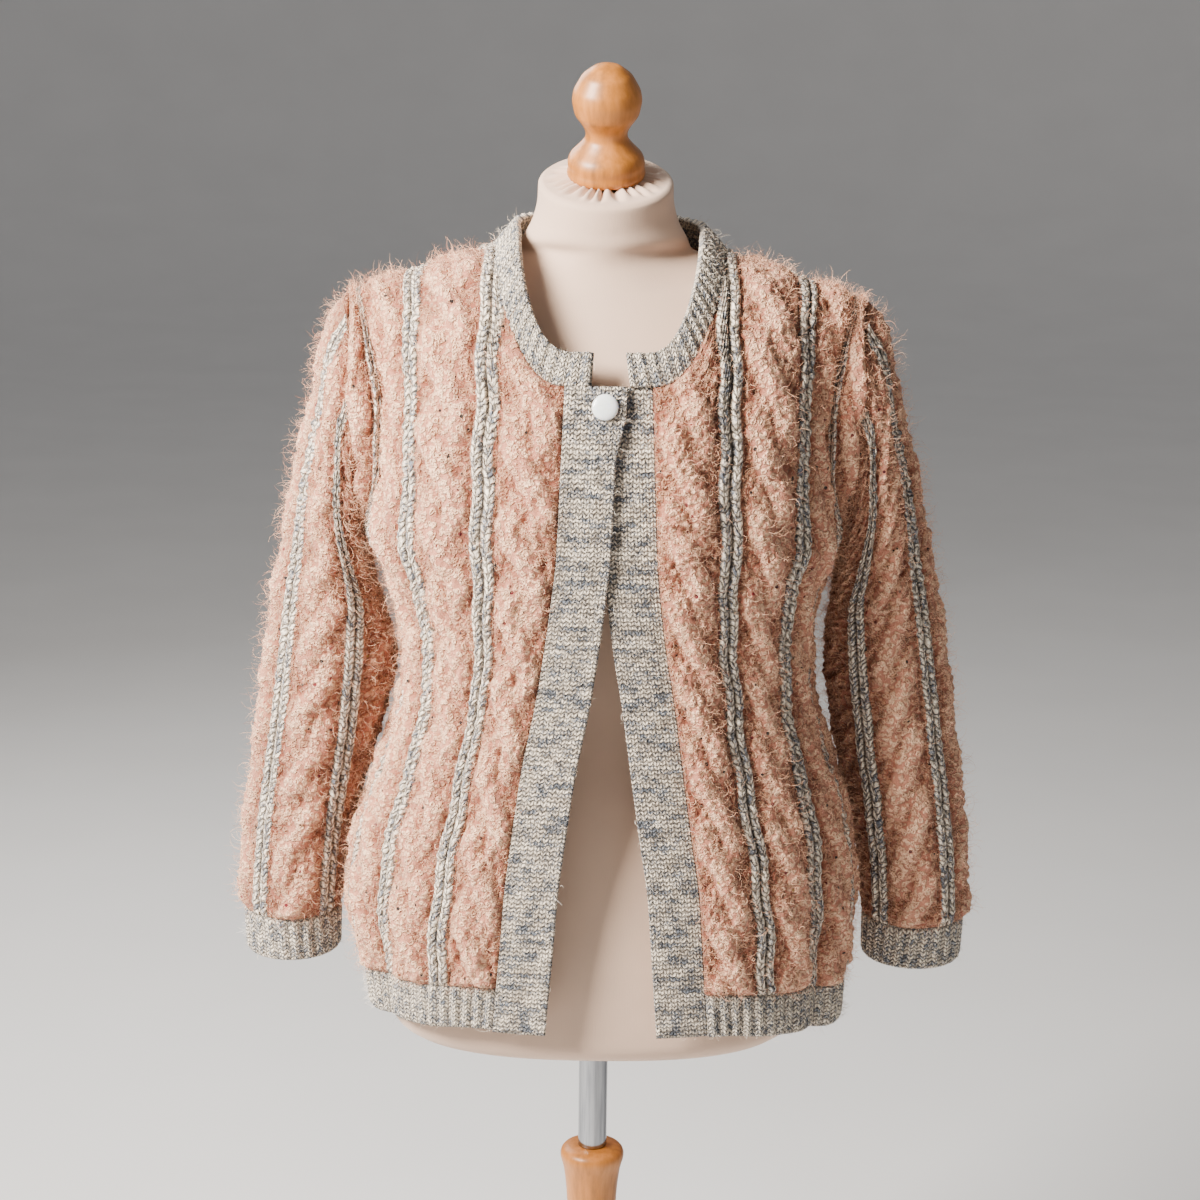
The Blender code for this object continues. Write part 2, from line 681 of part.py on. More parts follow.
def build_front(side):
    """One front of the body, with cables and corded stripes raised on it."""
    columns = front_columns()
    points, directions = front_surface(side)
    points = points.copy()
    across = unit(points[:, 1] - points[:, 0])
    points[:, 0] += across * SEAM_GAP / 2
    neck = [index for index, column in enumerate(columns) if column.wale < FRONT_NECK_WALE]
    points[-1, neck] += unit(points[-2, neck] - points[-1, neck]) * SEAM_GAP / 2
    relief = relief_grid(columns, len(points), FRONT_WIDTH, FRONT_NECK_WALE)
    outer = points + directions * (WALL + relief)[..., None]
    loft_wall("front_" + SIDES[side].name, outer, points, all_rows(points),
              kept(columns, FRONT_NECK_WALE), "mohair_pink", lean=side == LEFT)


def build_back():
    """The back of the body in one piece."""
    columns = back_columns()
    points, directions = back_surface()
    points = points.copy()
    neck = [index for index, column in enumerate(columns)
            if abs(column.wale) < BACK_NECK_WALE - 1e-6]
    points[-1, neck] += unit(points[-2, neck] - points[-1, neck]) * SEAM_GAP / 2
    relief = relief_grid(columns, len(points), BACK_HALF_WIDTH, BACK_NECK_WALE)
    outer = points + directions * (WALL + relief)[..., None]
    loft_wall("back", outer, points, all_rows(points), kept(columns, BACK_NECK_WALE),
              "mohair_pink", lean=False)


def band_points(side):
    """Inner points of a front band, from its sewn edge to its free edge, bottom row first."""
    points, directions = front_surface(side)
    seam = points[:, 0]
    seam_direction = directions[:, 0]
    foot = body_point(side, 0.0, SIDES[side].hem_front)
    seam = np.concatenate([[foot], seam])
    seam_direction = np.concatenate([[seam_direction[0]], seam_direction])
    seam_direction[0, 2] = 0.0
    seam_direction[0] = unit(seam_direction[0])
    grid = np.zeros((len(seam), BAND_COLUMNS + 1, 3))
    turned = np.zeros_like(grid)
    for row, start in enumerate(seam):
        near_top = ease((start[2] - 1.16) / 0.04)
        width = BAND_WIDTH + (BAND_TOP_WIDTH - BAND_WIDTH) * near_top
        reach = body_value(SIDES[side].name, start[2])
        flat = (1.0 - (abs(start[0]) / reach) ** SQUARENESS) ** (1 / SQUARENESS)
        for column in range(BAND_COLUMNS + 1):
            share = column / BAND_COLUMNS
            local = abs(start[0]) - SEAM_GAP / 2 - (width - SEAM_GAP / 2) * share
            round_part = (1.0 - (abs(local) / reach) ** SQUARENESS) ** (1 / SQUARENESS)
            grid[row, column] = (side * local, start[1] * round_part / flat, start[2])
            turned[row, column] = unit(seam_direction[row] * (1 - share)
                                       + np.array([-side * 0.02, -1.0, seam_direction[row][2]])
                                       * share)
    turned[-1] = seam_direction[-1]
    grid += turned * SIDES[side].band_lift
    return grid, turned


def build_band(side):
    """One front band, a strip of marl knit sewn to the front's edge."""
    points, directions = band_points(side)
    points[-1, :, 2] -= SEAM_GAP
    crown = np.array([0.0, 1.0, 1.2, 1.0, 0.0]) * BAND_CROWN
    outer = points + directions * (WALL + crown)[None, :, None]
    rows = list(range(len(points)))
    loft_wall("band_" + SIDES[side].name, outer, points, rows, [0, 2, 4], "marl_yarn",
              lean=side == LEFT)


def neckline_points():
    """Seam points round the neck with their thickness directions, right front to left front."""
    points = []
    directions = []
    for side in (RIGHT, LEFT):
        grid, turned = front_surface(side)
        columns = [index for index, (_, wale) in enumerate(front_wales(side))
                   if wale <= FRONT_NECK_WALE + 1e-6]
        band, _ = band_points(side)
        end = band[-1, 2].copy()
        end[0] = side * NECKBAND_ENDS[side]
        run = [end] + [grid[-1, index] for index in columns]
        turned_run = [turned[-1, 0]] + [turned[-1, index] for index in columns]
        if side == LEFT:
            run.reverse()
            turned_run.reverse()
        points.append(run)
        directions.append(turned_run)
    grid, turned = back_surface()
    columns = [index for index, (_, wale) in enumerate(back_wales())
               if wale < BACK_NECK_WALE - 1e-6]
    back = [grid[-1, index] for index in columns]
    back_turned = [turned[-1, index] for index in columns]
    whole = points[0] + back + points[1]
    whole_turned = directions[0] + back_turned + directions[1]
    return np.array(whole), np.array(whole_turned)


def build_neckband():
    """The neckband, standing from the neckline towards the neck."""
    seam, turned = neckline_points()
    rises = []
    for point in seam:
        bearing = math.atan2(abs(point[0]), -(point[1] + 0.018))
        front = max(math.cos(bearing), 0.0) ** 2
        aside = abs(math.sin(bearing))
        behind = max(-math.cos(bearing), 0.0) ** 2
        sign = math.copysign(1.0, point[0])
        rise = (front * np.array([0.0, 0.45, 0.89]) + behind * np.array([0.0, -0.20, 0.98])
                + aside * np.array([-sign * 0.69, 0.03, 0.72]))
        rises.append(unit(rise))
    rises = np.array(rises)
    rises[0] = unit([0.0, 0.45, 0.89])
    rises[-1] = rises[0]
    seam_rise = SEAM_GAP / 2
    grid = np.stack([seam + rises * (seam_rise + NECKBAND_WIDTH * share)
                     for share in (0.0, 0.5, 1.0)])
    directions = grid_directions(grid)
    directions = turned_outward(directions, grid, (0.0, -0.018, 0.0))
    directions[0] = turned
    directions[1:, 0] = directions[1:, 1]
    directions[1:, -1] = directions[1:, -2]
    crown = np.array([0.0, NECKBAND_CROWN, 0.0])
    outer = grid + directions * (WALL + crown)[:, None, None]
    loft_wall("neckband", outer, grid, [0, 1, 2], list(range(len(seam))), "marl_yarn")


def build_hem_rib(name, stations):
    """Ribbed hem along a run of stations, each a side and a turn round the body."""
    count = len(stations)
    grid = np.zeros((2, count, 3))
    for index, (side, turn) in enumerate(stations):
        low = hem_height(side, turn)
        grid[0, index] = body_point(side, turn, low)
        grid[1, index] = body_point(side, turn, low + HEM_RIB_HEIGHT - SEAM_GAP / 2)
    directions = grid_directions(grid)
    directions = turned_outward(directions, grid, (0.0, 0.0, 0.0))
    directions[..., 2] = 0.0
    for end in (0, count - 1):
        side, turn = stations[end]
        if abs(turn - 1.0) < 1e-6:
            directions[:, end, 1] = 0.0
    directions = unit(directions)
    for end, neighbour in ((0, 1), (count - 1, count - 2)):
        grid[:, end] += unit(grid[:, neighbour] - grid[:, end]) * SEAM_GAP / 2
    relief = np.array([RIB_RAISE if index % 2 else 0.0 for index in range(count)])
    outer = grid + directions * (WALL + relief)[None, :, None]
    loft_wall(name, outer, grid, [0, 1], list(range(0, count, 2)), "marl_yarn")


def build_hem_ribs():
    """Hem ribs of the two fronts and of the back."""
    front_ribs = 2 * round(FRONT_WIDTH * 1.15 / HEM_RIB_PITCH / 2)
    for side in (RIGHT, LEFT):
        stations = [(side, share) for share in np.linspace(0.0, 1.0, 2 * front_ribs + 1)]
        build_hem_rib("hem_rib_" + SIDES[side].name, stations)
    back_ribs = 2 * round(BACK_HALF_WIDTH * 1.15 / HEM_RIB_PITCH / 2)
    shares = np.linspace(0.0, 1.0, 2 * back_ribs + 1)
    stations = [(RIGHT, 1.0 + share) for share in shares]
    stations += [(LEFT, 2.0 - share) for share in shares[1:]]
    build_hem_rib("hem_rib_back", stations)


def sleeve_sections(side):
    """Middle, long half axis and half depth of the sleeve at each row of its table."""
    data = SIDES[side]
    centre, long_axis, outward = armhole_frame(side)
    sections = [(centre + outward * SEAM_GAP, long_axis, ARMHOLE_HALF_DEPTH)]
    last = len(SLEEVE_TABLE) - 1
    for index, row in enumerate(SLEEVE_TABLE + [CUFF_ROW]):
        fall = ease(min(index / last, 1.0))
        out = data.sleeve_out * fall + (data.tip_x - SIDES[RIGHT].tip_x) * (1.0 - fall)
        inward = data.sleeve_in * fall + (data.underarm_x - SIDES[RIGHT].underarm_x) * (1.0 - fall)
        high = np.array([side * (row.outer_x + out), row.back, row.outer_z])
        low = np.array([side * (row.inner_x + inward), row.back, row.inner_z])
        sections.append(((high + low) / 2, (high - low) / 2, row.half_depth))
    return sections


def sleeve_section(side, place):
    """Section of the sleeve at a place along its table."""
    sections = sleeve_sections(side)
    places = np.arange(len(sections))
    centre = [float(smooth(places, [s[0][axis] for s in sections], place)) for axis in range(3)]
    long_axis = [float(smooth(places, [s[1][axis] for s in sections], place)) for axis in range(3)]
    depth = float(smooth(places, [s[2] for s in sections], place))
    return np.array(centre), np.array(long_axis), depth


def section_points(section, angles, squareness=2.0):
    """Points round a section; angle 0 is its outer end and a quarter turn is its front."""
    centre, long_axis, depth = section
    angles = np.asarray(angles)
    power = 2.0 / squareness
    along = np.sign(np.cos(angles)) * np.abs(np.cos(angles)) ** power
    forward = np.sign(np.sin(angles)) * np.abs(np.sin(angles)) ** power
    points = centre + along[:, None] * long_axis
    points[:, 1] -= forward * depth
    return points


def section_directions(section, points):
    """Outward directions in the section's own plane."""
    centre, long_axis, depth = section
    length = np.linalg.norm(long_axis)
    up = long_axis / length
    offset = points - centre
    flat = (offset @ up)[:, None] * up / length ** 2
    flat[:, 1] += offset[:, 1] / depth ** 2
    return unit(flat)


def sleeve_columns():
    """Wales of one half of a sleeve, from the middle of its top towards the underarm."""
    half = CABLE_WIDTH / 2
    groups = [cable_columns(-half, CABLE_WIDTH), cord_columns(half, STRIPE_WIDTH),
              cable_columns(half + STRIPE_WIDTH, CABLE_WIDTH),
              cord_columns(half + STRIPE_WIDTH + CABLE_WIDTH, STRIPE_WIDTH)]
    end = half + 2 * STRIPE_WIDTH + CABLE_WIDTH
    columns = []
    for column in [column for group in groups for column in group]:
        if column.wale < -1e-6 or (columns and abs(columns[-1].wale - column.wale) < 1e-6):
            continue
        columns.append(column)
    return columns, end


def sleeve_ring(side, place):
    """Points round the sleeve at one place: front columns, then the underarm and the back ones."""
    section = sleeve_section(side, place)
    columns, end = sleeve_columns()
    angles = np.linspace(0.0, math.pi, 121)
    fine = section_points(section, angles)
    lengths = np.concatenate([[0.0], np.cumsum(np.linalg.norm(np.diff(fine, axis=0), axis=1))])
    half = lengths[-1]
    front = [SLEEVE_SHRINK * column.wale + SLEEVE_TURN for column in columns]
    back = [SLEEVE_SHRINK * column.wale - SLEEVE_TURN for column in columns]
    front_rest = [front[-1] + (half - front[-1]) * share for share in (0.25, 0.5, 0.75, 1.0)]
    back_rest = [back[-1] + (half - back[-1]) * share for share in (0.75, 0.5, 0.25)]
    signed = front + front_rest + [-value for value in back_rest] + [-v for v in back[:0:-1]]
    found = np.array([math.copysign(float(np.interp(abs(v), lengths, angles)), v) for v in signed])
    return section, section_points(section, found)


def sleeve_relief(row):
    """Raised heights round the sleeve at one row, in the order of the ring's points."""
    columns, _ = sleeve_columns()
    heights = [column.odd if row % 2 else column.even for column in columns]
    share = 0.45 * ease((row - 3) / 3)
    rest = [CABLE_RAISE * share * (1.0 - 0.5 * ((index + row) % 2)) for index in range(3)]
    front = heights + rest + [0.0]
    back = rest + heights[:0:-1]
    return np.array(front + back)


def sleeve_places(side):
    """Places down the sleeve table, evenly spaced along the outer line of the sleeve."""
    end = len(SLEEVE_TABLE)
    fine = np.linspace(0.0, end, 201)
    outer = []
    for place in fine:
        centre, long_axis, _ = sleeve_section(side, place)
        outer.append(centre + long_axis)
    lengths = np.concatenate([[0.0], np.cumsum(np.linalg.norm(np.diff(outer, axis=0), axis=1))])
    return np.interp(np.linspace(0.0, lengths[-1], SLEEVE_ROWS + 1), lengths, fine)


def build_sleeve(side):
    """One sleeve from the armhole to the top of the cuff."""
    places = sleeve_places(side)
    sections = []
    rings = []
    for place in places:
        section, ring = sleeve_ring(side, place)
        sections.append(section)
        rings.append(ring)
    points = np.array(rings)
    directions = grid_directions(points, closed=True)
    centres = np.array([section[0] for section in sections])[:, None]
    outward = np.sum(directions * (points - centres))
    directions = -directions if outward < 0 else directions
    for row in (0, len(points) - 1):
        directions[row] = section_directions(sections[row], points[row])
    relief = np.array([sleeve_relief(row) for row in range(len(points))])
    relief[0] *= 0.4
    relief[1] *= 0.7
    outer = points + directions * (WALL + relief)[..., None]
    columns, _ = sleeve_columns()
    total = len(points[0])
    marks = [index for index, column in enumerate(columns) if column.keep]
    underarm = len(columns) + 3
    mirror = [total - index for index in marks if index]
    keep = sorted(set(marks + [len(columns) + 1, underarm, underarm + 2] + mirror))
    loft_wall("sleeve_" + SIDES[side].name, outer, points, all_rows(points), keep, "mohair_pink",
              closed=True, lean=side == LEFT)


def build_cuff(side):
    """The ribbed cuff at the end of a sleeve."""
    end = len(SLEEVE_TABLE)
    angles = np.linspace(0.0, 2 * math.pi, 2 * CUFF_RIBS, endpoint=False)
    top_section = sleeve_section(side, end)
    low_section = sleeve_section(side, end + 1)
    drop = unit(low_section[0] - top_section[0])
    grid = []
    directions = []
    for section, shift in ((low_section, 0.0), (top_section, SEAM_GAP)):
        ring = section_points(section, angles)
        directions.append(section_directions(section, ring))
        grid.append(ring + drop * shift)
    grid = np.array(grid)
    relief = np.array([RIB_RAISE if index % 2 else 0.0 for index in range(2 * CUFF_RIBS)])
    outer = grid + np.array(directions) * (WALL + relief)[None, :, None]
    loft_wall("cuff_" + SIDES[side].name, outer, grid, [0, 1], list(range(0, 2 * CUFF_RIBS, 2)),
              "marl_yarn", closed=True)


def turned_object(name, profile, segments, finish):
    """Turned solid from a profile of radius and height, top to bottom, with a Screw modifier."""
    mesh = bmesh.new()
    points = [mesh.verts.new((radius, 0.0, height)) for radius, height in profile]
    for first, second in zip(points[:-1], points[1:]):
        mesh.edges.new((first, second))
    data = bpy.data.meshes.new(name)
    mesh.to_mesh(data)
    mesh.free()
    item = place_object(name, data, finish)
    screw = item.modifiers.new("turn", "SCREW")
    screw.axis = "Z"
    screw.angle = 2 * math.pi
    screw.steps = segments
    screw.render_steps = segments
    screw.use_merge_vertices = True
    screw.merge_threshold = 0.00005
    screw.use_smooth_shade = True
    return item


def build_button():
    """The button that holds the two bands together, a shallow dome on the upper band."""
    points, directions = band_points(RIGHT)
    heights = points[:, 2, 2]
    row = int(np.argmin(np.abs(heights - BUTTON_HEIGHT)))
    direction = unit(directions[row, 2] + directions[row - 1, 2])
    along = float(np.interp(BUTTON_HEIGHT, heights, points[:, 2, 1]))
    reach = WALL + BAND_CROWN * 1.2 + SEAM_GAP + 0.0007
    seat = np.array([BUTTON_X, along, BUTTON_HEIGHT]) + direction * reach
    radius = BUTTON_RADIUS
    profile = [(0.0, 0.0030), (radius * 0.45, 0.0031), (radius * 0.66, 0.0038),
               (radius * 0.86, 0.0036), (radius, 0.0020), (radius * 0.96, 0.0006),
               (radius * 0.80, 0.0), (0.0, 0.0)]
    item = turned_object("button", profile, 20, "pearl_button")
    item.location = seat
    item.rotation_euler = (math.acos(direction[2]), 0.0,
                           math.atan2(direction[0], -direction[1]))
    return item


def form_ring(row, segments):
    """Points round one section of the dress form, the neck's sections tilted forward."""
    ring = []
    tilt = math.tan(NECK_TILT) * ease((row.height - 1.309) / (1.350 - 1.309))
    for step in range(segments):
        angle = 2 * math.pi * step / segments
        power = 2.0 / row.squareness
        across = math.copysign(abs(math.cos(angle)) ** power, math.cos(angle)) * row.half_width
        depth = row.back if math.sin(angle) > 0 else row.front
        along = math.copysign(abs(math.sin(angle)) ** power, math.sin(angle)) * depth
        ring.append((across, along, row.height + along * tilt))
    return ring


def shoulder_rows():
    """Sections between the arm ends and the neck, whose ends lie just under the shoulder seam."""
    rows = []
    depths = [(1.2747, 0.058, 0.068, 1.5), (1.2830, 0.055, 0.064, 1.35),
              (1.2920, 0.053, 0.060, 1.25), (1.3005, 0.052, 0.056, 1.25),
              (1.3090, 0.052, 0.053, 1.4)]
    for height, front, back, squareness in depths:
        reach = SHOULDER_X + (SHOULDER_HEIGHT - SHOULDER_CLEARANCE - height) / SHOULDER_SLOPE
        reach -= NECK_CLEARANCE if height > SHOULDER_HEIGHT - 0.002 else 0.0
        rows.append(FormRow(height, reach, front, back, squareness))
    return rows


def build_form():
    """The limbless dress form, one smooth closed body from hip to neck."""
    rows = FORM_ROWS + shoulder_rows() + NECK_ROWS
    mesh = bmesh.new()
    rings = [[mesh.verts.new(point) for point in form_ring(row, FORM_SEGMENTS)] for row in rows]
    for low, high in zip(rings[:-1], rings[1:]):
        for step in range(FORM_SEGMENTS):
            after = (step + 1) % FORM_SEGMENTS
            mesh.faces.new((low[step], low[after], high[after]))
            mesh.faces.new((low[step], high[after], high[step]))
    mesh.faces.new(rings[0])
    mesh.faces.new(rings[-1])
    bmesh.ops.triangulate(mesh, faces=[face for face in mesh.faces if len(face.verts) > 4])
    item = mesh_object("dress_form", mesh, "cream_jersey")
    item.data.shade_smooth()
    return item


def build_finial():
    """The turned wooden finial on the neck of the form, tilted with the neck."""
    base_gap = SEAM_GAP
    profile = [(0.0, 0.0905), (0.0100, 0.0885), (0.0190, 0.0815), (0.0255, 0.0700),
               (0.0268, 0.0620), (0.0245, 0.0510), (0.0180, 0.0420), (0.0158, 0.0370),
               (0.0162, 0.0320), (0.0215, 0.0255), (0.0280, 0.0190), (0.0300, 0.0130),
               (0.0290, 0.0085), (0.0305, 0.0060), (0.0300, 0.0020), (0.0270, 0.0),
               (0.0, 0.0)]
    item = turned_object("finial", profile, 22, "honey_wood")
    item.location = (0.0, math.sin(NECK_TILT) * -base_gap, NECK_CAP_HEIGHT + base_gap)
    item.rotation_euler = (NECK_TILT, 0.0, 0.0)
    return item


def build_pole():
    """The metal pole between the form and the wooden column."""
    top = FORM_BOTTOM - SEAM_GAP
    bottom = COLLAR_TOP + SEAM_GAP
    bpy.ops.mesh.primitive_cylinder_add(vertices=24, radius=POLE_RADIUS, depth=top - bottom,
                                        location=(0.0, 0.0, (top + bottom) / 2))
    item = bpy.context.object
    item.name = "pole"
    item.data.name = "pole"
    item.data.materials.append(material("chrome_pole"))
    for collection in list(item.users_collection):
        collection.objects.unlink(item)
    model_collection().objects.link(item)
    item.parent = bpy.data.objects.get("cardigan_origin")
    return item


def build_column():
    """The turned wooden column of the stand."""
    profile = [(0.0, COLLAR_TOP), (0.0215, COLLAR_TOP), (0.0262, 0.5515), (0.0275, 0.5475),
               (0.0272, 0.5430), (0.0240, 0.5370), (0.0215, 0.5150), (0.0190, 0.4700),
               (0.0175, 0.4100), (0.0185, 0.3500), (0.0235, 0.2900), (0.0300, 0.2450),
               (0.0315, 0.2250), (0.0270, 0.2080), (0.0235, 0.2020), (0.0290, 0.1960),
               (HUB_RADIUS, 0.1900), (HUB_RADIUS, 0.1300), (0.0290, HUB_BOTTOM),
               (0.0, HUB_BOTTOM)]
    return turned_object("stand_column", profile, 24, "honey_wood")


def build_legs():
    """Three curved legs cut from board, standing flat on the floor."""
    outline = [(0.0, 0.184), (0.022, 0.182), (0.060, 0.160), (0.100, 0.118), (0.140, 0.070),
               (0.172, 0.034), (0.190, 0.022), (LEG_REACH - HUB_RADIUS, 0.017),
               (LEG_REACH - HUB_RADIUS, 0.0), (0.158, 0.0), (0.146, 0.008), (0.116, 0.044),
               (0.078, 0.090), (0.040, 0.126), (0.0, 0.136)]
    face = HUB_RADIUS * math.cos(math.pi / 24) + SEAM_GAP
    for index in range(LEG_COUNT):
        name = "stand_leg_%d" % (index + 1)
        curve = bpy.data.curves.new(name, "CURVE")
        curve.dimensions = "2D"
        curve.fill_mode = "BOTH"
        curve.extrude = LEG_THICKNESS / 2
        spline = curve.splines.new("POLY")
        spline.points.add(len(outline) - 1)
        for point, (reach, height) in zip(spline.points, outline):
            point.co = (face + reach, height, 0.0, 1.0)
        spline.use_cyclic_u = True
        item = place_object(name, curve, "honey_wood")
        bearing = math.pi / 2 + index * 2 * math.pi / LEG_COUNT
        item.rotation_euler = (math.pi / 2, 0.0, bearing)


def main():
    """Build every piece of the object."""
    clear_scene()
    origin = bpy.data.objects.new("cardigan_origin", None)
    model_collection().objects.link(origin)
    origin.location = OBJECT_OFFSET
    for side in (RIGHT, LEFT):
        build_front(side)
        build_band(side)
        build_sleeve(side)
        build_cuff(side)
    build_back()
    build_neckband()
    build_hem_ribs()
    build_button()
    build_form()
    build_finial()
    build_pole()
    build_column()
    build_legs()


main()
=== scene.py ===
"""Cable knit cardigan on a limbless dress form, dressed with its yarns, wood, metal and jersey."""
import json
import math
from collections import namedtuple

import bmesh
import bpy
import numpy as np
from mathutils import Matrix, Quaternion, Vector

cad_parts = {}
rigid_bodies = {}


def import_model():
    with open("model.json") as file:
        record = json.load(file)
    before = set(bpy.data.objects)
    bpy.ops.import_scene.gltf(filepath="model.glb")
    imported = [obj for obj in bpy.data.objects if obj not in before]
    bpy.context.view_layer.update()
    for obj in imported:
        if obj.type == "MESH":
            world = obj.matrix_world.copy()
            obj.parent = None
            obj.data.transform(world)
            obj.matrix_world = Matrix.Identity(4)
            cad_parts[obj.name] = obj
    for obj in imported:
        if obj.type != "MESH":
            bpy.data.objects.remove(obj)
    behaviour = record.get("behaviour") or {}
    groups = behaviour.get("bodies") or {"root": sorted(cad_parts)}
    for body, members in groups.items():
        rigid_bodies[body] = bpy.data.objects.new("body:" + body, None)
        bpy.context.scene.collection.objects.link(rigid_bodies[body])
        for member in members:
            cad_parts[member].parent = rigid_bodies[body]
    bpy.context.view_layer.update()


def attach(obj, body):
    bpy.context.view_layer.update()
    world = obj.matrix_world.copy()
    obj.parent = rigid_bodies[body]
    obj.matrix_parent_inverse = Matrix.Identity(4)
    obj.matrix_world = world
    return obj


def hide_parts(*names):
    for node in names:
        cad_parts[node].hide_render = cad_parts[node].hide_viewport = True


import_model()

bl_info = {
    "name": "Cable Knit Cardigan",
    "version": (1, 0, 0),
    "blender": (4, 5, 0),
    "location": "View3D > Sidebar > Cardigan",
    "description": "Builds a fuzzy cable knit cardigan on its dress form",
    "category": "Object",
}

# Places and sizes in metres, mostly shared with the solids
OFFSET = np.array([-0.007, -0.044, 0.0])
LEVEL = np.array([1.0, 1.0, 0.0])
NECK_MIDDLE = np.array([0.0, -0.018, 0.0])
WALL = 0.0035
SEAM_GAP = 0.0003
CABLE_WIDTH = 0.044
STRIPE_WIDTH = 0.018
FRONT_WIDTH = 3 * (CABLE_WIDTH + STRIPE_WIDTH) + CABLE_WIDTH / 2
BACK_CABLE_WIDTH = 0.042
BACK_STRIPE_WIDTH = 0.017
BACK_HALF_WIDTH = 4 * (BACK_CABLE_WIDTH + BACK_STRIPE_WIDTH)
FRONT_SHOULDER_END = FRONT_WIDTH - 0.040
BACK_SHOULDER_END = BACK_HALF_WIDTH - 0.040
FRONT_NECK_WALE = CABLE_WIDTH + STRIPE_WIDTH / 2
FRONT_STRIPE_WALE = 2 * CABLE_WIDTH + STRIPE_WIDTH * 1.5
BACK_NECK_WALE = 0.5 * BACK_CABLE_WIDTH + BACK_STRIPE_WIDTH + BACK_CABLE_WIDTH
UNDERARM_HEIGHT = 1.090
SQUARENESS = 2.3
SHOULDER_X = 0.100
SHOULDER_HEIGHT = 1.301
SHOULDER_SLOPE = 0.322
SHOULDER_CLEARANCE = 0.0006
NECK_CLEARANCE = 0.006
NECKLINE_FRONT_HEIGHT = 1.2175
NECKLINE_BACK_HEIGHT = 1.315
ARMHOLE_HALF_DEPTH = 0.046
ARMHOLE_SCOOP = 0.012
SHOULDER_SHARE = 0.950
HEM_RIB_HEIGHT = 0.036
HEM_SIDE_DROP = 0.022
HEM_BACK_RISE = 0.004
HEM_LEFT_DROP = 0.004
BAND_WIDTH = 0.040
BAND_TOP_WIDTH = 0.046
NECKBAND_WIDTH = 0.026
NECKBAND_ENDS = {-1: 0.0085, 1: 0.0200}
CUFF_HEIGHT = 0.036
BUTTON_HEIGHT = 1.2035
BUTTON_X = 0.002
SLEEVE_TURN = 0.008
SLEEVE_SHRINK = 0.88
NECK_CAP_HEIGHT = 1.361
NECK_TILT = math.radians(17.0)
FORM_BOTTOM = 0.675
COVER_SCALE = 0.9985
GATHER_HEIGHT = 0.0052
COLLAR_TOP = 0.554
CABLE_PERIOD = 0.0636
CABLE_PHASE = 5.5
RIGHT = -1
LEFT = 1

# Sag of the right sleeve's inner side past its solid, in metres, then its place and reach in table rows
SLEEVE_SAG = 0.0110
SLEEVE_SAG_ROW = 6.4
SLEEVE_SAG_SPREAD = 1.3

# Heights and repeats of the knitting, in metres
ROPE_HEIGHT = 0.0068
GROUND_HEIGHT = 0.0018
CORD_HEIGHT = 0.0044
CORD_LINK = 0.0105
STITCH_WIDTH = 0.0048
ROW_HEIGHT = 0.0036
RIB_PITCH = 0.0096
NECK_STITCH_WIDTH = 0.0049
NECK_RIB_PITCH = 0.0098
HEM_RIB_RELIEF = 0.0021
CUFF_RIB_RELIEF = 0.0019
NECK_RIB_RELIEF = 0.0020
NECK_CROWN = 0.0010
# Height at which the painted relief shade ends in painted light on the crests
FULLY_RAISED = 0.0080

# Mesh rows below and above the underarm, other counts, and shares of the fibres
FRONT_ROWS = (168, 128)
BACK_ROWS = (120, 86)
INNER_STEP = 3
FIBRE_JOINTS = 4
FIBRE_TAPER = (1.0, 0.95, 0.70, 0.30)
CROSSING_SHARE = 0.14
PANEL_STRAYS = 0.34
SLEEVE_STRAYS = 0.55

# Camera's distance from the form, heights over the floor in metres, and its roll
CAMERA_DISTANCE = 1.94059
CAMERA_HEIGHT = 1.51184
CAMERA_AIM_HEIGHT = 1.028
CAMERA_ROLL = math.radians(0.82)
LIGHT_AIM_HEIGHT = 1.02

Side = namedtuple("Side", "name tip_x underarm_x neck_x stripe_x hem_front sleeve_out sleeve_in "
                          "band_lift")
SIDES = {
    RIGHT: Side("right", 0.197, 0.180, 0.083, 0.147, 0.7115, 0.000, 0.000, 0.0030),
    LEFT: Side("left", 0.202, 0.184, 0.091, 0.156, 0.7075, 0.014, 0.010, -0.0022),
}
BodyRow = namedtuple("BodyRow", "height right left front back edge_right edge_left")
BODY_ROWS = [
    BodyRow(0.660, 0.178, 0.198, 0.128, 0.126, 0.0800, 0.0910),
    BodyRow(0.700, 0.182, 0.2005, 0.129, 0.128, 0.0786, 0.0893),
    BodyRow(0.745, 0.188, 0.202, 0.131, 0.130, 0.0755, 0.0860),
    BodyRow(0.785, 0.1955, 0.2045, 0.133, 0.131, 0.0722, 0.0830),
    BodyRow(0.825, 0.1910, 0.2015, 0.133, 0.129, 0.0694, 0.0798),
    BodyRow(0.870, 0.1780, 0.1920, 0.132, 0.124, 0.0640, 0.0730),
    BodyRow(0.925, 0.1590, 0.1735, 0.131, 0.117, 0.0565, 0.0650),
    BodyRow(0.975, 0.1485, 0.1620, 0.130, 0.113, 0.0470, 0.0580),
    BodyRow(1.020, 0.1520, 0.1630, 0.131, 0.111, 0.0405, 0.0505),
    BodyRow(1.060, 0.1640, 0.1700, 0.133, 0.110, 0.0357, 0.0454),
    BodyRow(1.090, 0.1800, 0.1840, 0.133, 0.110, 0.0325, 0.0425),
    BodyRow(1.157, 0.1850, 0.1900, 0.133, 0.110, 0.0264, 0.0348),
    BodyRow(1.220, 0.1900, 0.1950, 0.133, 0.110, 0.0235, 0.0322),
]
Fold = namedtuple("Fold", "side foot top low high depth width")
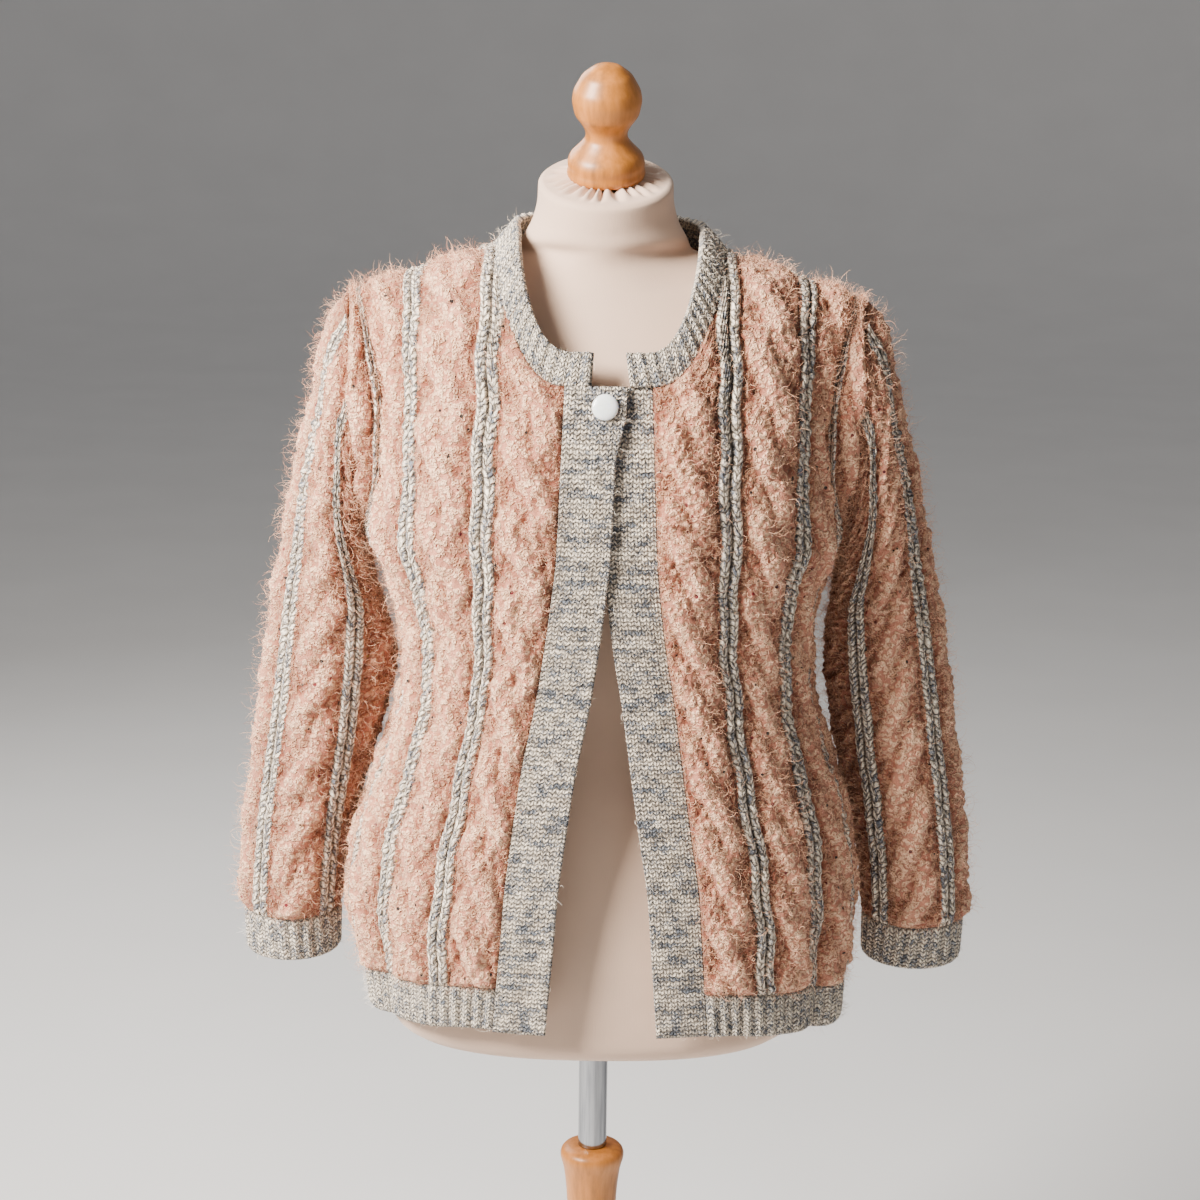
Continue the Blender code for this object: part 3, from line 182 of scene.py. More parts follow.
BODY_FOLDS = [
    Fold(LEFT, 0.60, 0.46, 0.66, 0.93, 0.0085, 0.085),
    Fold(LEFT, 0.26, 0.24, 0.66, 0.84, -0.0040, 0.110),
    Fold(RIGHT, 0.62, 0.52, 0.66, 0.88, 0.0060, 0.090),
    Fold(RIGHT, 0.30, 0.26, 0.66, 0.86, -0.0040, 0.110),
    Fold(LEFT, 1.36, 1.42, 0.66, 0.96, 0.0070, 0.100),
    Fold(LEFT, 1.74, 1.70, 0.66, 0.90, -0.0050, 0.100),
    Fold(RIGHT, 1.40, 1.44, 0.66, 0.98, 0.0070, 0.100),
    Fold(RIGHT, 1.78, 1.72, 0.66, 0.92, -0.0050, 0.100),
]
SleeveRow = namedtuple("SleeveRow", "outer_x outer_z inner_x inner_z half_depth back")
SLEEVE_TABLE = [
    SleeveRow(0.2095, 1.240, 0.1865, 1.083, 0.047, 0.001),
    SleeveRow(0.2170, 1.200, 0.1890, 1.072, 0.047, 0.003),
    SleeveRow(0.2275, 1.160, 0.1890, 1.060, 0.046, 0.006),
    SleeveRow(0.2375, 1.118, 0.1860, 1.043, 0.045, 0.010),
    SleeveRow(0.2465, 1.070, 0.1820, 1.018, 0.043, 0.014),
    SleeveRow(0.2565, 1.020, 0.1790, 0.985, 0.042, 0.018),
    SleeveRow(0.2655, 0.960, 0.1840, 0.940, 0.041, 0.022),
    SleeveRow(0.2755, 0.890, 0.1955, 0.880, 0.040, 0.026),
    SleeveRow(0.2845, 0.820, 0.2110, 0.815, 0.039, 0.029),
    SleeveRow(0.2885, 0.757, 0.2180, 0.757, 0.038, 0.030),
    SleeveRow(0.2870, 0.721, 0.2190, 0.721, 0.037, 0.030),
]
FormRow = namedtuple("FormRow", "height half_width front back squareness")
FORM_ROWS = [
    FormRow(0.675, 0.158, 0.100, 0.098, 2.5),
    FormRow(0.681, 0.165, 0.107, 0.105, 2.5),
    FormRow(0.692, 0.169, 0.111, 0.109, 2.5),
    FormRow(0.740, 0.169, 0.111, 0.112, 2.5),
    FormRow(0.810, 0.161, 0.104, 0.109, 2.4),
    FormRow(0.875, 0.140, 0.094, 0.096, 2.3),
    FormRow(0.935, 0.121, 0.086, 0.085, 2.3),
    FormRow(0.995, 0.128, 0.096, 0.085, 2.3),
    FormRow(1.045, 0.140, 0.112, 0.088, 2.3),
    FormRow(1.095, 0.150, 0.121, 0.092, 2.3),
    FormRow(1.140, 0.156, 0.117, 0.094, 2.3),
    FormRow(1.185, 0.166, 0.106, 0.090, 2.2),
    FormRow(1.225, 0.176, 0.088, 0.080, 2.1),
    FormRow(1.255, 0.181, 0.068, 0.078, 1.9),
]
SHOULDER_ROWS = [
    (1.2747, 0.058, 0.068, 1.5), (1.2830, 0.055, 0.064, 1.35), (1.2920, 0.053, 0.060, 1.25),
    (1.3005, 0.052, 0.056, 1.25), (1.3090, 0.052, 0.053, 1.4),
]
NECK_ROWS = [
    FormRow(1.318, 0.0630, 0.052, 0.053, 1.85),
    FormRow(1.331, 0.0560, 0.052, 0.053, 2.0),
    FormRow(1.346, 0.0525, 0.053, 0.053, 2.0),
    FormRow(1.358, 0.0520, 0.054, 0.054, 2.0),
    FormRow(1.361, 0.0490, 0.051, 0.051, 2.0),
]


# Surface of the garment
def smooth(places, values, at):
    """Values at places on a smooth curve through a table, without overshoot."""
    places = np.asarray(places, float)
    values = np.asarray(values, float)
    at = np.clip(np.asarray(at, float), places[0], places[-1])
    steps = np.diff(places)
    rates = np.diff(values) / steps
    slopes = np.zeros_like(values)
    slopes[0] = rates[0]
    slopes[-1] = rates[-1]
    for index in range(1, len(places) - 1):
        if rates[index - 1] * rates[index] > 0:
            slopes[index] = 2.0 / (1.0 / rates[index - 1] + 1.0 / rates[index])
    index = np.clip(np.searchsorted(places, at, side="right") - 1, 0, len(steps) - 1)
    share = (at - places[index]) / steps[index]
    rise = share * share * (3.0 - 2.0 * share)
    start = share * (1.0 - share) ** 2 * slopes[index] * steps[index]
    end = share * share * (share - 1.0) * slopes[index + 1] * steps[index]
    return values[index] * (1.0 - rise) + values[index + 1] * rise + start + end


def body_value(name, height):
    """One column of the body table at heights."""
    heights = [row.height for row in BODY_ROWS]
    return smooth(heights, [getattr(row, name) for row in BODY_ROWS], height)


def ease(value):
    """Soft step from 0 to 1."""
    value = np.clip(value, 0.0, 1.0)
    return value * value * (3.0 - 2.0 * value)


def unit(vector):
    """Vectors at length one."""
    vector = np.asarray(vector, float)
    return vector / np.maximum(np.linalg.norm(vector, axis=-1, keepdims=True), 1e-12)


def quarter_arc(half_width, depth, start, share):
    """Points at one share of the length of quarter ovals, one oval for each height."""
    spread = np.linspace(0.0, 1.0, 61)
    angles = start[:, None] + (math.pi / 2 - start[:, None]) * spread
    across = half_width[:, None] * np.sin(angles) ** (2 / SQUARENESS)
    along = depth[:, None] * np.cos(angles).clip(0.0) ** (2 / SQUARENESS)
    steps = np.hypot(np.diff(across, axis=1), np.diff(along, axis=1))
    lengths = np.concatenate([np.zeros((len(steps), 1)), np.cumsum(steps, axis=1)], axis=1)
    place = share * lengths[:, -1]
    index = np.clip((lengths < place[:, None]).sum(axis=1) - 1, 0, 59)
    rows = np.arange(len(index))
    low = lengths[rows, index]
    part = (place - low) / np.maximum(lengths[rows, index + 1] - low, 1e-12)
    found_x = across[rows, index] + (across[rows, index + 1] - across[rows, index]) * part
    found_y = along[rows, index] + (along[rows, index + 1] - along[rows, index]) * part
    return found_x, found_y


def fold_offset(side, turn, heights):
    """How far the folds press the fabric in."""
    offset = np.zeros_like(heights)
    for fold in BODY_FOLDS:
        if fold.side != side:
            continue
        share = (heights - fold.low) / (fold.high - fold.low)
        centre = fold.foot + (fold.top - fold.foot) * share
        fade = ease((1.0 - share) * 1.6)
        offset += fold.depth * fade * np.exp(-((turn - centre) / fold.width) ** 2)
    return offset


def body_points(side, turn, heights):
    """Inner face of the body below the underarm at one turn and many heights."""
    heights = np.asarray(heights, float)
    reach = body_value(SIDES[side].name, heights)
    if turn <= 1.0:
        depth = body_value("front", heights)
        edge = body_value("edge_" + SIDES[side].name, heights)
        start = np.arcsin((edge / reach) ** (SQUARENESS / 2))
        across, along = quarter_arc(reach, depth, start, turn)
        along = -along
    else:
        depth = body_value("back", heights)
        across, along = quarter_arc(reach, depth, np.zeros_like(heights), 2.0 - turn)
    pressed = fold_offset(side, turn, heights)
    outward = unit(np.stack([across / reach ** 2, along / depth ** 2], axis=-1))
    across = across - pressed * outward[:, 0]
    along = along - pressed * outward[:, 1]
    return np.stack([side * across, along, heights], axis=-1)


def shoulder_line(across):
    """Height of the shoulder seam at a distance from the middle."""
    return SHOULDER_HEIGHT - SHOULDER_SLOPE * (across - SHOULDER_X)


def armhole_frame(side):
    """Middle, long half axis and outward direction of the flat oval armhole."""
    data = SIDES[side]
    low = np.array([side * data.underarm_x, 0.0, UNDERARM_HEIGHT])
    high = np.array([side * data.tip_x, 0.0, shoulder_line(data.tip_x)])
    long_axis = (high - low) / 2
    up = unit(long_axis)
    return (high + low) / 2, long_axis, np.array([side * up[2], 0.0, -side * up[0]])


def top_x(side, wale, front):
    """Distance from the middle at which a wale reaches the shoulder line."""
    data = SIDES[side]
    near_tip = data.tip_x * SHOULDER_SHARE
    if front:
        edge = float(body_value("edge_" + data.name, NECKLINE_FRONT_HEIGHT))
        places = [0.0, FRONT_NECK_WALE, FRONT_STRIPE_WALE, FRONT_SHOULDER_END, FRONT_WIDTH]
        reaches = [edge, data.neck_x, data.stripe_x, near_tip, data.tip_x]
    else:
        places = [0.0, BACK_NECK_WALE, BACK_SHOULDER_END, BACK_HALF_WIDTH]
        reaches = [0.0, data.neck_x, near_tip, data.tip_x]
    return float(np.interp(wale, places, reaches))


def upper_roundness(wale, front):
    """Exponent of the quarter oval that a wale follows over the shoulder."""
    if front:
        return 2.05 + 0.25 * wale / FRONT_WIDTH
    return 3.0 - 0.7 * wale / BACK_HALF_WIDTH


def top_angle(side, wale, front):
    """Angle on the quarter oval at which a wale ends, at the neckline or the shoulder."""
    limit = FRONT_NECK_WALE if front else BACK_NECK_WALE
    if wale >= limit:
        return math.pi / 2
    top = shoulder_line(top_x(side, wale, front))
    side_height = shoulder_line(top_x(side, limit, front))
    place = wale / limit
    if front:
        height = NECKLINE_FRONT_HEIGHT + (side_height - NECKLINE_FRONT_HEIGHT) * place ** 2.4
    else:
        height = side_height + (NECKLINE_BACK_HEIGHT - side_height) * (1.0 - place) ** 2
    full = min((height - UNDERARM_HEIGHT) / (top - UNDERARM_HEIGHT), 1.0)
    return math.asin(full ** (upper_roundness(wale, front) / 2))


def upper_points(side, wale, front, angles):
    """Inner face of the body above the underarm, at one wale and many angles."""
    width = FRONT_WIDTH if front else BACK_HALF_WIDTH
    turn = wale / width if front else 2.0 - wale / width
    foot = body_points(side, turn, np.array([UNDERARM_HEIGHT]))[0]
    roundness = upper_roundness(wale, front)
    top = top_x(side, wale, front)
    rise = np.sin(angles) ** (2 / roundness)
    lean = np.cos(angles).clip(0.0) ** (2 / roundness)
    height = UNDERARM_HEIGHT + (shoulder_line(top) - UNDERARM_HEIGHT) * rise
    across = foot[0] + (side * top - foot[0]) * rise
    edge = ease((wale / width - 0.72) / 0.28)
    soft = (4.0 * rise * (1.0 - rise)).clip(0.0)
    blend = (wale / width) ** 12
    near = min(max((wale / width - 0.5) * 2.0, 0.0), 1.0)
    across = across - side * ARMHOLE_SCOOP * soft * 4.0 * near * (1.0 - near)
    bulge = ARMHOLE_HALF_DEPTH * edge * (np.sqrt(soft) * blend + soft * (1.0 - blend))
    along = foot[1] * lean + (-bulge if front else bulge)
    return np.stack([across, along, height], axis=-1)


def hem_height(side, turn):
    """Lower edge of the hem rib."""
    front = SIDES[side].hem_front
    middle = (SIDES[RIGHT].hem_front + SIDES[LEFT].hem_front) / 2 - HEM_SIDE_DROP
    side_height = middle - HEM_LEFT_DROP * side
    if turn <= 1.0:
        return front + (side_height - front) * float(ease(turn))
    return side_height + (middle + HEM_BACK_RISE - side_height) * float(ease(turn - 1.0))


Cloth = namedtuple("Cloth", "points directions wales lengths")


def body_cloth(side, front, wales, low_rows, high_rows):
    """Inner face, outward directions and lengths along the wales of a front or half the back."""
    width = FRONT_WIDTH if front else BACK_HALF_WIDTH
    shares = np.linspace(0.0, 1.0, low_rows + 1)
    points = []
    directions = []
    for wale in wales:
        turn = wale / width if front else 2.0 - wale / width
        foot = hem_height(side, turn) + HEM_RIB_HEIGHT
        heights = foot + (UNDERARM_HEIGHT - foot) * shares
        low = body_points(side, turn, heights)
        least, most = (0.0, 1.0) if front else (1.0, 2.0)
        before = body_points(side, max(turn - 0.02, least), heights)
        after = body_points(side, min(turn + 0.02, most), heights)
        across = (after - before) * (1.0 if front else -1.0)
        angles = top_angle(side, wale, front) * np.linspace(0.0, 1.0, high_rows + 1)[1:]
        high = upper_points(side, wale, front, angles)
        near = upper_points(side, max(wale - 0.005, 0.0), front, angles)
        far = upper_points(side, min(wale + 0.005, width), front, angles)
        column = np.concatenate([low, high])
        across = np.concatenate([across, far - near])
        along = np.gradient(column, axis=0)
        direction = unit(np.cross(across, along))
        if direction[2, 0] * low[2, 0] + direction[2, 1] * low[2, 1] < 0:
            direction = -direction
        points.append(column)
        directions.append(direction)
    points = np.array(points).transpose(1, 0, 2)
    directions = np.array(directions).transpose(1, 0, 2)
    steps = np.linalg.norm(np.diff(points, axis=0), axis=2)
    lengths = np.concatenate([np.zeros((1, len(wales))), np.cumsum(steps, axis=0)])
    lengths = lengths - lengths[low_rows]
    directions = soften(directions, 3)
    return Cloth(points, directions, np.array(wales), lengths)


def soften(directions, times, closed=False):
    """Even out directions between neighbours."""
    for _ in range(times):
        total = directions.copy()
        total[1:] += directions[:-1]
        total[:-1] += directions[1:]
        if closed:
            total += np.roll(directions, 1, axis=1) + np.roll(directions, -1, axis=1)
        else:
            total[:, 1:] += directions[:, :-1]
            total[:, :-1] += directions[:, 1:]
        directions = unit(total)
    return directions


def facing(directions, away):
    """Directions turned to the side that away points to."""
    return -directions if np.sum(directions * away) < 0 else directions


def winds_inward(across_way, along_way, directions):
    """Whether a grid's faces would look against its directions."""
    return float(np.sum(np.cross(across_way, along_way) * directions)) < 0


def walked_along(line):
    """Distance walked at each point of a line."""
    steps = np.linalg.norm(np.diff(line, axis=0), axis=1)
    return np.concatenate([[0.0], np.cumsum(steps)])


# Raised knitting
def cable_height(across, along, width):
    """Height of a rope of two strands; across runs from -1 to 1, along is in metres."""
    turn = along / CABLE_PERIOD + CABLE_PHASE
    part = turn - np.floor(turn)
    swing = 0.46 * np.cos(math.pi * part)
    lift = np.sin(math.pi * part)
    over = (1.0 - ((across - swing) / 0.49) ** 2).clip(0.0)
    under = (1.0 - ((across + swing) / 0.48) ** 2).clip(0.0)
    top = ROPE_HEIGHT * np.sqrt(over) * (1.0 + 0.28 * lift)
    low = ROPE_HEIGHT * np.sqrt(under) * (1.0 - 0.50 * lift)
    ground = GROUND_HEIGHT * ease((1.0 - np.abs(across)) / 0.12)
    return (top ** 4 + low ** 4 + ground ** 4) ** 0.25 * width / CABLE_WIDTH


def cord_height(across, along):
    """Height of a stripe of two chain stitched cords; across runs from -1 to 1."""
    offset = (np.abs(across) - 0.50) / 0.47
    profile = np.sqrt((1.0 - offset ** 2).clip(0.0))
    links = 0.5 + 0.5 * np.sin(2.0 * math.pi * (along / CORD_LINK + np.where(across > 0, 0.5, 0.0)))
    knots = uneven(across * 0.006, along, 0.0085, 7)
    return CORD_HEIGHT * profile * (0.74 + 0.28 * links + 0.45 * knots)


def uneven(across, along, size, seed):
    """Soft irregular waves with no exact repeat."""
    rng = np.random.default_rng(seed)
    total = np.zeros(np.broadcast(across, along).shape)
    for _ in range(7):
        bearing = rng.uniform(0.0, math.pi)
        rate = 2.0 * math.pi / (size * rng.uniform(0.7, 1.6))
        shift = rng.uniform(0.0, 2.0 * math.pi)
        total = total + np.sin((across * math.cos(bearing) + along * math.sin(bearing)) * rate + shift)
    return total / 7.0


def loop_height(across, along, seed):
    """Small uneven lumps of the brushed yarn."""
    fine = uneven(across, along, 0.0080, seed) + 0.7 * uneven(across, along, 0.0055, seed + 1)
    return 0.0022 * fine + 0.0020 * uneven(across, along, 0.022, seed + 2)


Knit = namedtuple("Knit", "height pink place")


def panel_knit(wales, lengths, cable, stripe, seed, lean=1.0):
    """Raised height, yarn and place in the repeat of a body panel."""
    pitch = cable + stripe
    wander = 0.0016 * uneven(np.zeros_like(lengths), lengths, 0.060, seed + 9)
    sway = 0.0011 * np.sin(2.0 * math.pi * (lengths / CABLE_PERIOD + CABLE_PHASE))
    moved = wales[None, :] + (wander + sway) * ease(wales / 0.02)[None, :]
    place_in = moved - np.floor(moved / pitch) * pitch
    in_cable = place_in < cable
    rope = cable_height(((place_in / cable) * 2.0 - 1.0) * lean, lengths, cable)
    cords = cord_height(((place_in - cable) / stripe) * 2.0 - 1.0, lengths)
    loops = loop_height(moved, lengths, seed)
    height = np.where(in_cable, rope + loops, cords)
    return Knit(height, in_cable, moved * (CABLE_WIDTH + STRIPE_WIDTH) / pitch)


def crowding(points):
    """How close neighbouring wales stand, against the usual distance."""
    steps = np.linalg.norm(np.diff(points, axis=1), axis=2)
    steps = np.concatenate([steps, steps[:, -1:]], axis=1)
    usual = np.median(steps)
    return np.clip(steps / usual, 0.0, 1.0)


def edge_fade(count_rows, count_columns, bottom, top, first, last):
    """Share of the raised height that is kept near each edge, over a number of steps each."""
    rows = np.arange(count_rows)[:, None]
    columns = np.arange(count_columns)[None, :]
    share = np.ones((count_rows, count_columns))
    for steps_in, run in ((rows, bottom), (count_rows - 1 - rows, top),
                          (columns, first), (count_columns - 1 - columns, last)):
        if run:
            share = share * ease(0.3 + steps_in / run)
    return share


# Meshes
def mesh_from(name, points, faces):
    """Mesh from an array of points and one or more arrays of faces."""
    mesh = bpy.data.meshes.new(name)
    points = np.asarray(points, np.float32).reshape(-1, 3)
    groups = faces if isinstance(faces, list) else [faces]
    corners = np.concatenate([np.ravel(group) for group in groups]).astype(np.int32)
    sizes = np.concatenate([np.full(len(group), group.shape[1]) for group in groups])
    starts = np.concatenate([[0], np.cumsum(sizes)[:-1]]).astype(np.int32)
    mesh.vertices.add(len(points))
    mesh.vertices.foreach_set("co", points.ravel())
    mesh.loops.add(len(corners))
    mesh.loops.foreach_set("vertex_index", corners)
    mesh.polygons.add(len(starts))
    mesh.polygons.foreach_set("loop_start", starts)
    mesh.update(calc_edges=True)
    mesh.validate()
    mesh.polygons.foreach_set("use_smooth", np.ones(len(mesh.polygons), bool))
    return mesh


def grid_faces(rows, columns, closed=False, start=0, turned=False):
    """Four-cornered faces of a grid of points."""
    row = np.arange(rows - 1)[:, None]
    column = np.arange(columns if closed else columns - 1)[None, :]
    after = (column + 1) % columns
    corners = [row * columns + column, row * columns + after,
               (row + 1) * columns + after, (row + 1) * columns + column]
    faces = np.stack([np.broadcast_to(c, (rows - 1, column.shape[1])) for c in corners], axis=-1)
    faces = faces.reshape(-1, 4) + start
    return faces[:, ::-1] if turned else faces


def rim_faces(outer, inner, turned):
    """Faces between a run of outer point numbers and a sparser run of inner ones."""
    groups = {}
    for index in range(len(inner) - 1):
        low, high = outer[1][index], outer[1][index + 1]
        run = list(outer[0][low:high + 1]) + [inner[index + 1], inner[index]]
        groups.setdefault(len(run), []).append(run[::-1] if turned else run)
    return [np.array(group) for group in groups.values()]


def inner_picks(rows, columns, closed):
    """Numbers of the rows and columns that the sparser inner face keeps."""
    row_picks = np.unique(np.append(np.arange(0, rows, INNER_STEP), rows - 1))
    column_picks = np.arange(0, columns, INNER_STEP)
    if not closed:
        column_picks = np.unique(np.append(column_picks, columns - 1))
    return row_picks, column_picks


def cloth_mesh(name, outer, inner, closed=False, turned=False):
    """Closed cloth from its outer face and its plain inner face, a sparser grid."""
    rows, columns = outer.shape[:2]
    count = rows * columns
    row_picks, column_picks = inner_picks(rows, columns, closed)
    sparse = inner[np.ix_(row_picks, column_picks)]
    low, wide = sparse.shape[:2]
    faces = [grid_faces(rows, columns, closed, 0, turned),
             grid_faces(low, wide, closed, count, not turned)]
    numbers = np.arange(count).reshape(rows, columns)
    under = np.arange(low * wide).reshape(low, wide) + count
    if closed:
        numbers = np.concatenate([numbers, numbers[:, :1]], axis=1)
        under = np.concatenate([under, under[:, :1]], axis=1)
        column_picks = np.append(column_picks, columns)
    faces += rim_faces((numbers[0], column_picks), under[0], not turned)
    faces += rim_faces((numbers[-1], column_picks), under[-1], turned)
    if not closed:
        faces += rim_faces((numbers[:, 0], row_picks), under[:, 0], turned)
        faces += rim_faces((numbers[:, -1], row_picks), under[:, -1], not turned)
    points = np.concatenate([outer.reshape(-1, 3), sparse.reshape(-1, 3)])
    return mesh_from(name, points + OFFSET, faces)


def add_numbers(mesh, name, values, rest=0.0):
    """Store one number for each point, with the same one on the plain inner face."""
    numbers = np.full(len(mesh.vertices), rest, np.float32)
    numbers[:np.size(values)] = np.ravel(values)
    attribute = mesh.attributes.new(name, "FLOAT", "POINT")
    attribute.data.foreach_set("value", numbers)


def add_map(mesh, across, along, closed=False):
    """Store where each point lies on the flat knitting, in metres, on both faces."""
    layer = mesh.uv_layers.new(name="knitting")
    corners = np.zeros(len(mesh.loops), np.int32)
    mesh.loops.foreach_get("vertex_index", corners)
    under = np.ix_(*inner_picks(*across.shape, closed))
    pairs = np.stack([np.concatenate([values.ravel(), values[under].ravel()])
                      for values in (across, along)], axis=-1).astype(np.float32)
    layer.data.foreach_set("uv", pairs[corners].ravel())


def place(mesh, name, slot, *nodes):
    """Put a piece in the scene, standing for its nodes."""
    piece = bpy.data.objects.new(name, mesh)
    bpy.context.scene.collection.objects.link(piece)
    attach(piece, "root")
    if nodes:
        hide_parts(*nodes)
    return piece


# Finishes
class Finish:
    """Small helper that adds shader nodes to one material."""

    def __init__(self, name):
        self.material = bpy.data.materials.get(name)
        self.fresh = self.material is None
        if self.fresh:
            self.material = bpy.data.materials.new(name)
            self.material.use_nodes = True
        self.tree = self.material.node_tree
        self.shader = self.tree.nodes.get("Principled BSDF")

    def node(self, kind, **inputs):
        """Add a node and set its inputs by name."""
        node = self.tree.nodes.new(kind)
        for key, value in inputs.items():
            node.inputs[key.replace("_", " ")].default_value = value
        return node

    def link(self, source, target):
        """Join two sockets."""
        self.tree.links.new(source, target)

    def coordinates(self, kind, scale):
        """Object or knitting coordinates, stretched by a scale."""
        if kind == "knitting":
            source = self.tree.nodes.new("ShaderNodeUVMap")
            source.uv_map = "knitting"
            output = source.outputs["UV"]
        else:
            source = self.tree.nodes.new("ShaderNodeTexCoord")
            output = source.outputs["Object"]
        mapping = self.tree.nodes.new("ShaderNodeMapping")
        mapping.inputs["Scale"].default_value = scale
        self.link(output, mapping.inputs["Vector"])
        return mapping.outputs["Vector"]

    def noise(self, vector, scale, detail=3.0, roughness=0.6):
        """Noise value from coordinates."""
        node = self.node("ShaderNodeTexNoise", Scale=scale, Detail=detail, Roughness=roughness)
        self.link(vector, node.inputs["Vector"])
        return node.outputs["Fac"]

    def ramp(self, value, stops):
        """Colours along a value."""
        node = self.tree.nodes.new("ShaderNodeValToRGB")
        elements = node.color_ramp.elements
        while len(elements) < len(stops):
            elements.new(0.5)
        for element, (position, colour) in zip(elements, stops):
            element.position = position
            element.color = (*colour, 1.0)
        self.link(value, node.inputs["Fac"])
        return node.outputs["Color"]

    def mix(self, kind, share, first, second):
        """Blend of two colours."""
        node = self.tree.nodes.new("ShaderNodeMix")
        node.data_type = "RGBA"
        node.blend_type = kind
        for socket, value in ((node.inputs[0], share), (node.inputs[6], first),
                              (node.inputs[7], second)):
            if isinstance(value, (int, float)):
                socket.default_value = value
            elif isinstance(value, tuple):
                socket.default_value = (*value, 1.0)
            else:
                self.link(value, socket)
        return node.outputs[2]

    def maths(self, kind, first, second=0.0, clamp=False):
        """One sum on two values."""
        node = self.tree.nodes.new("ShaderNodeMath")
        node.operation = kind
        node.use_clamp = clamp
        for socket, value in zip(node.inputs, (first, second)):
            if isinstance(value, (int, float)):
                socket.default_value = value
            else:
                self.link(value, socket)
        return node.outputs[0]

    def weighted(self, first, share, second, other_share):
        """Sum of two values, each times its share."""
        return self.maths("ADD", self.maths("MULTIPLY", first, share),
                          self.maths("MULTIPLY", second, other_share))

    def swing(self, vector, scale, width, detail=3.0, roughness=0.6):
        """Noise that swings evenly about 0, width across."""
        wave = self.maths("MULTIPLY", self.noise(vector, scale, detail, roughness), width)
        return self.maths("SUBTRACT", wave, width / 2)

    def number(self, name):
        """A number stored on the mesh."""
        node = self.tree.nodes.new("ShaderNodeAttribute")
        node.attribute_name = name
        return node.outputs["Fac"]

    def bump(self, height, strength, distance):
        """Fine surface relief."""
        node = self.node("ShaderNodeBump", Strength=strength, Distance=distance)
        self.link(height, node.inputs["Height"])
        self.link(node.outputs["Normal"], self.shader.inputs["Normal"])

    def surface(self, colour, **values):
        """Set the shader's colour and its plain values."""
        if isinstance(colour, tuple):
            self.shader.inputs["Base Color"].default_value = (*colour, 1.0)
        else:
            self.link(colour, self.shader.inputs["Base Color"])
        for key, value in values.items():
            self.shader.inputs[key.replace("_", " ")].default_value = value


def warped(finish, vector, scale, amount):
    """Coordinates pushed about by noise."""
    push = finish.node("ShaderNodeTexNoise", Scale=scale, Detail=2.0)
    finish.link(vector, push.inputs["Vector"])
    moved = finish.tree.nodes.new("ShaderNodeVectorMath")
    moved.operation = "MULTIPLY_ADD"
    finish.link(push.outputs["Color"], moved.inputs[0])
    moved.inputs[1].default_value = (amount, amount, amount)
    finish.link(vector, moved.inputs[2])
    return moved.outputs[0]


def pink_look(finish, vector):
    """Colour and relief of curled loops of brushed salmon and peach yarn, with painted light on raised loops
    and painted shade in low places and recesses.
    """
    looks = bpy.context.scene.cardigan_looks
    light = tuple(looks.pink_light)
    deep = tuple(looks.pink_deep)
    middle = tuple(0.42 * a + 0.58 * b for a, b in zip(light, deep))
    bent = warped(finish, vector, 260.0, 0.0045)
    cells = finish.node("ShaderNodeTexVoronoi", Scale=245.0)
    finish.link(bent, cells.inputs["Vector"])
    ring = finish.maths("ABSOLUTE", finish.maths("SUBTRACT", cells.outputs["Distance"], 0.36))
    loop = finish.maths("SUBTRACT", 1.0, finish.maths("MULTIPLY", ring, 3.4), True)
    strands = finish.noise(bent, 620.0, 3.0, 0.65)
    patches = finish.noise(vector, 60.0, 3.0, 0.55)
    height = finish.weighted(loop, 0.72, strands, 0.47)
    tone = finish.weighted(height, 0.66, patches, 0.52)
    # Lighter on raised loops and strands, up to a painted highlight, and deeper where they lie low: painted
    # light and shade, mixed with random patches of the yarn's tone
    colour = finish.ramp(tone, [(0.44, deep), (0.56, middle), (0.69, light),
                                (0.84, tuple(min(1.0, value * 1.15 + 0.03) for value in light))])
    # Painted shade in the cable recesses and low places, set by the raised height, and painted light on the
    # crests
    relief_shade = finish.ramp(finish.number("raised"), [
        (0.0, (0.36, 0.24, 0.20)), (0.28, (0.64, 0.50, 0.45)),
        (0.60, (0.96, 0.92, 0.90)), (1.0, (1.18, 1.17, 1.16))])
    colour = finish.mix("MULTIPLY", 1.0, colour, relief_shade)
    nubs = finish.node("ShaderNodeTexVoronoi", Scale=68.0)
    finish.link(vector, nubs.inputs["Vector"])
    spot = finish.maths("LESS_THAN", nubs.outputs["Distance"], 0.100)
    shade = finish.ramp(nubs.outputs["Color"], [
        (0.0, (0.010, 0.009, 0.012)), (0.55, (0.012, 0.010, 0.013)),
        (0.60, (0.14, 0.010, 0.020)), (0.88, (0.20, 0.015, 0.02)), (0.92, (0.32, 0.20, 0.03))])
    return finish.mix("MIX", spot, colour, shade), height


def stitches(finish, across, along, wale, row, slope):
    """Row number and relief of V shaped stitches, from places on the flat knitting."""
    leg = finish.maths("FRACT", finish.maths("DIVIDE", across, wale))
    leg = finish.maths("ABSOLUTE", finish.maths("SUBTRACT", leg, 0.5))
    slant = finish.maths("SUBTRACT", finish.maths("DIVIDE", along, row), finish.maths("MULTIPLY", leg, slope))
    part = finish.maths("FRACT", slant)
    arch = finish.maths("SINE", finish.maths("MULTIPLY", part, math.pi))
    column = finish.maths("SINE", finish.maths("MULTIPLY", leg, 2.0 * math.pi))
    relief = finish.maths("MULTIPLY", finish.maths("POWER", arch, 0.75),
                          finish.maths("POWER", column, 0.22 * slope))
    return finish.maths("FLOOR", slant), relief


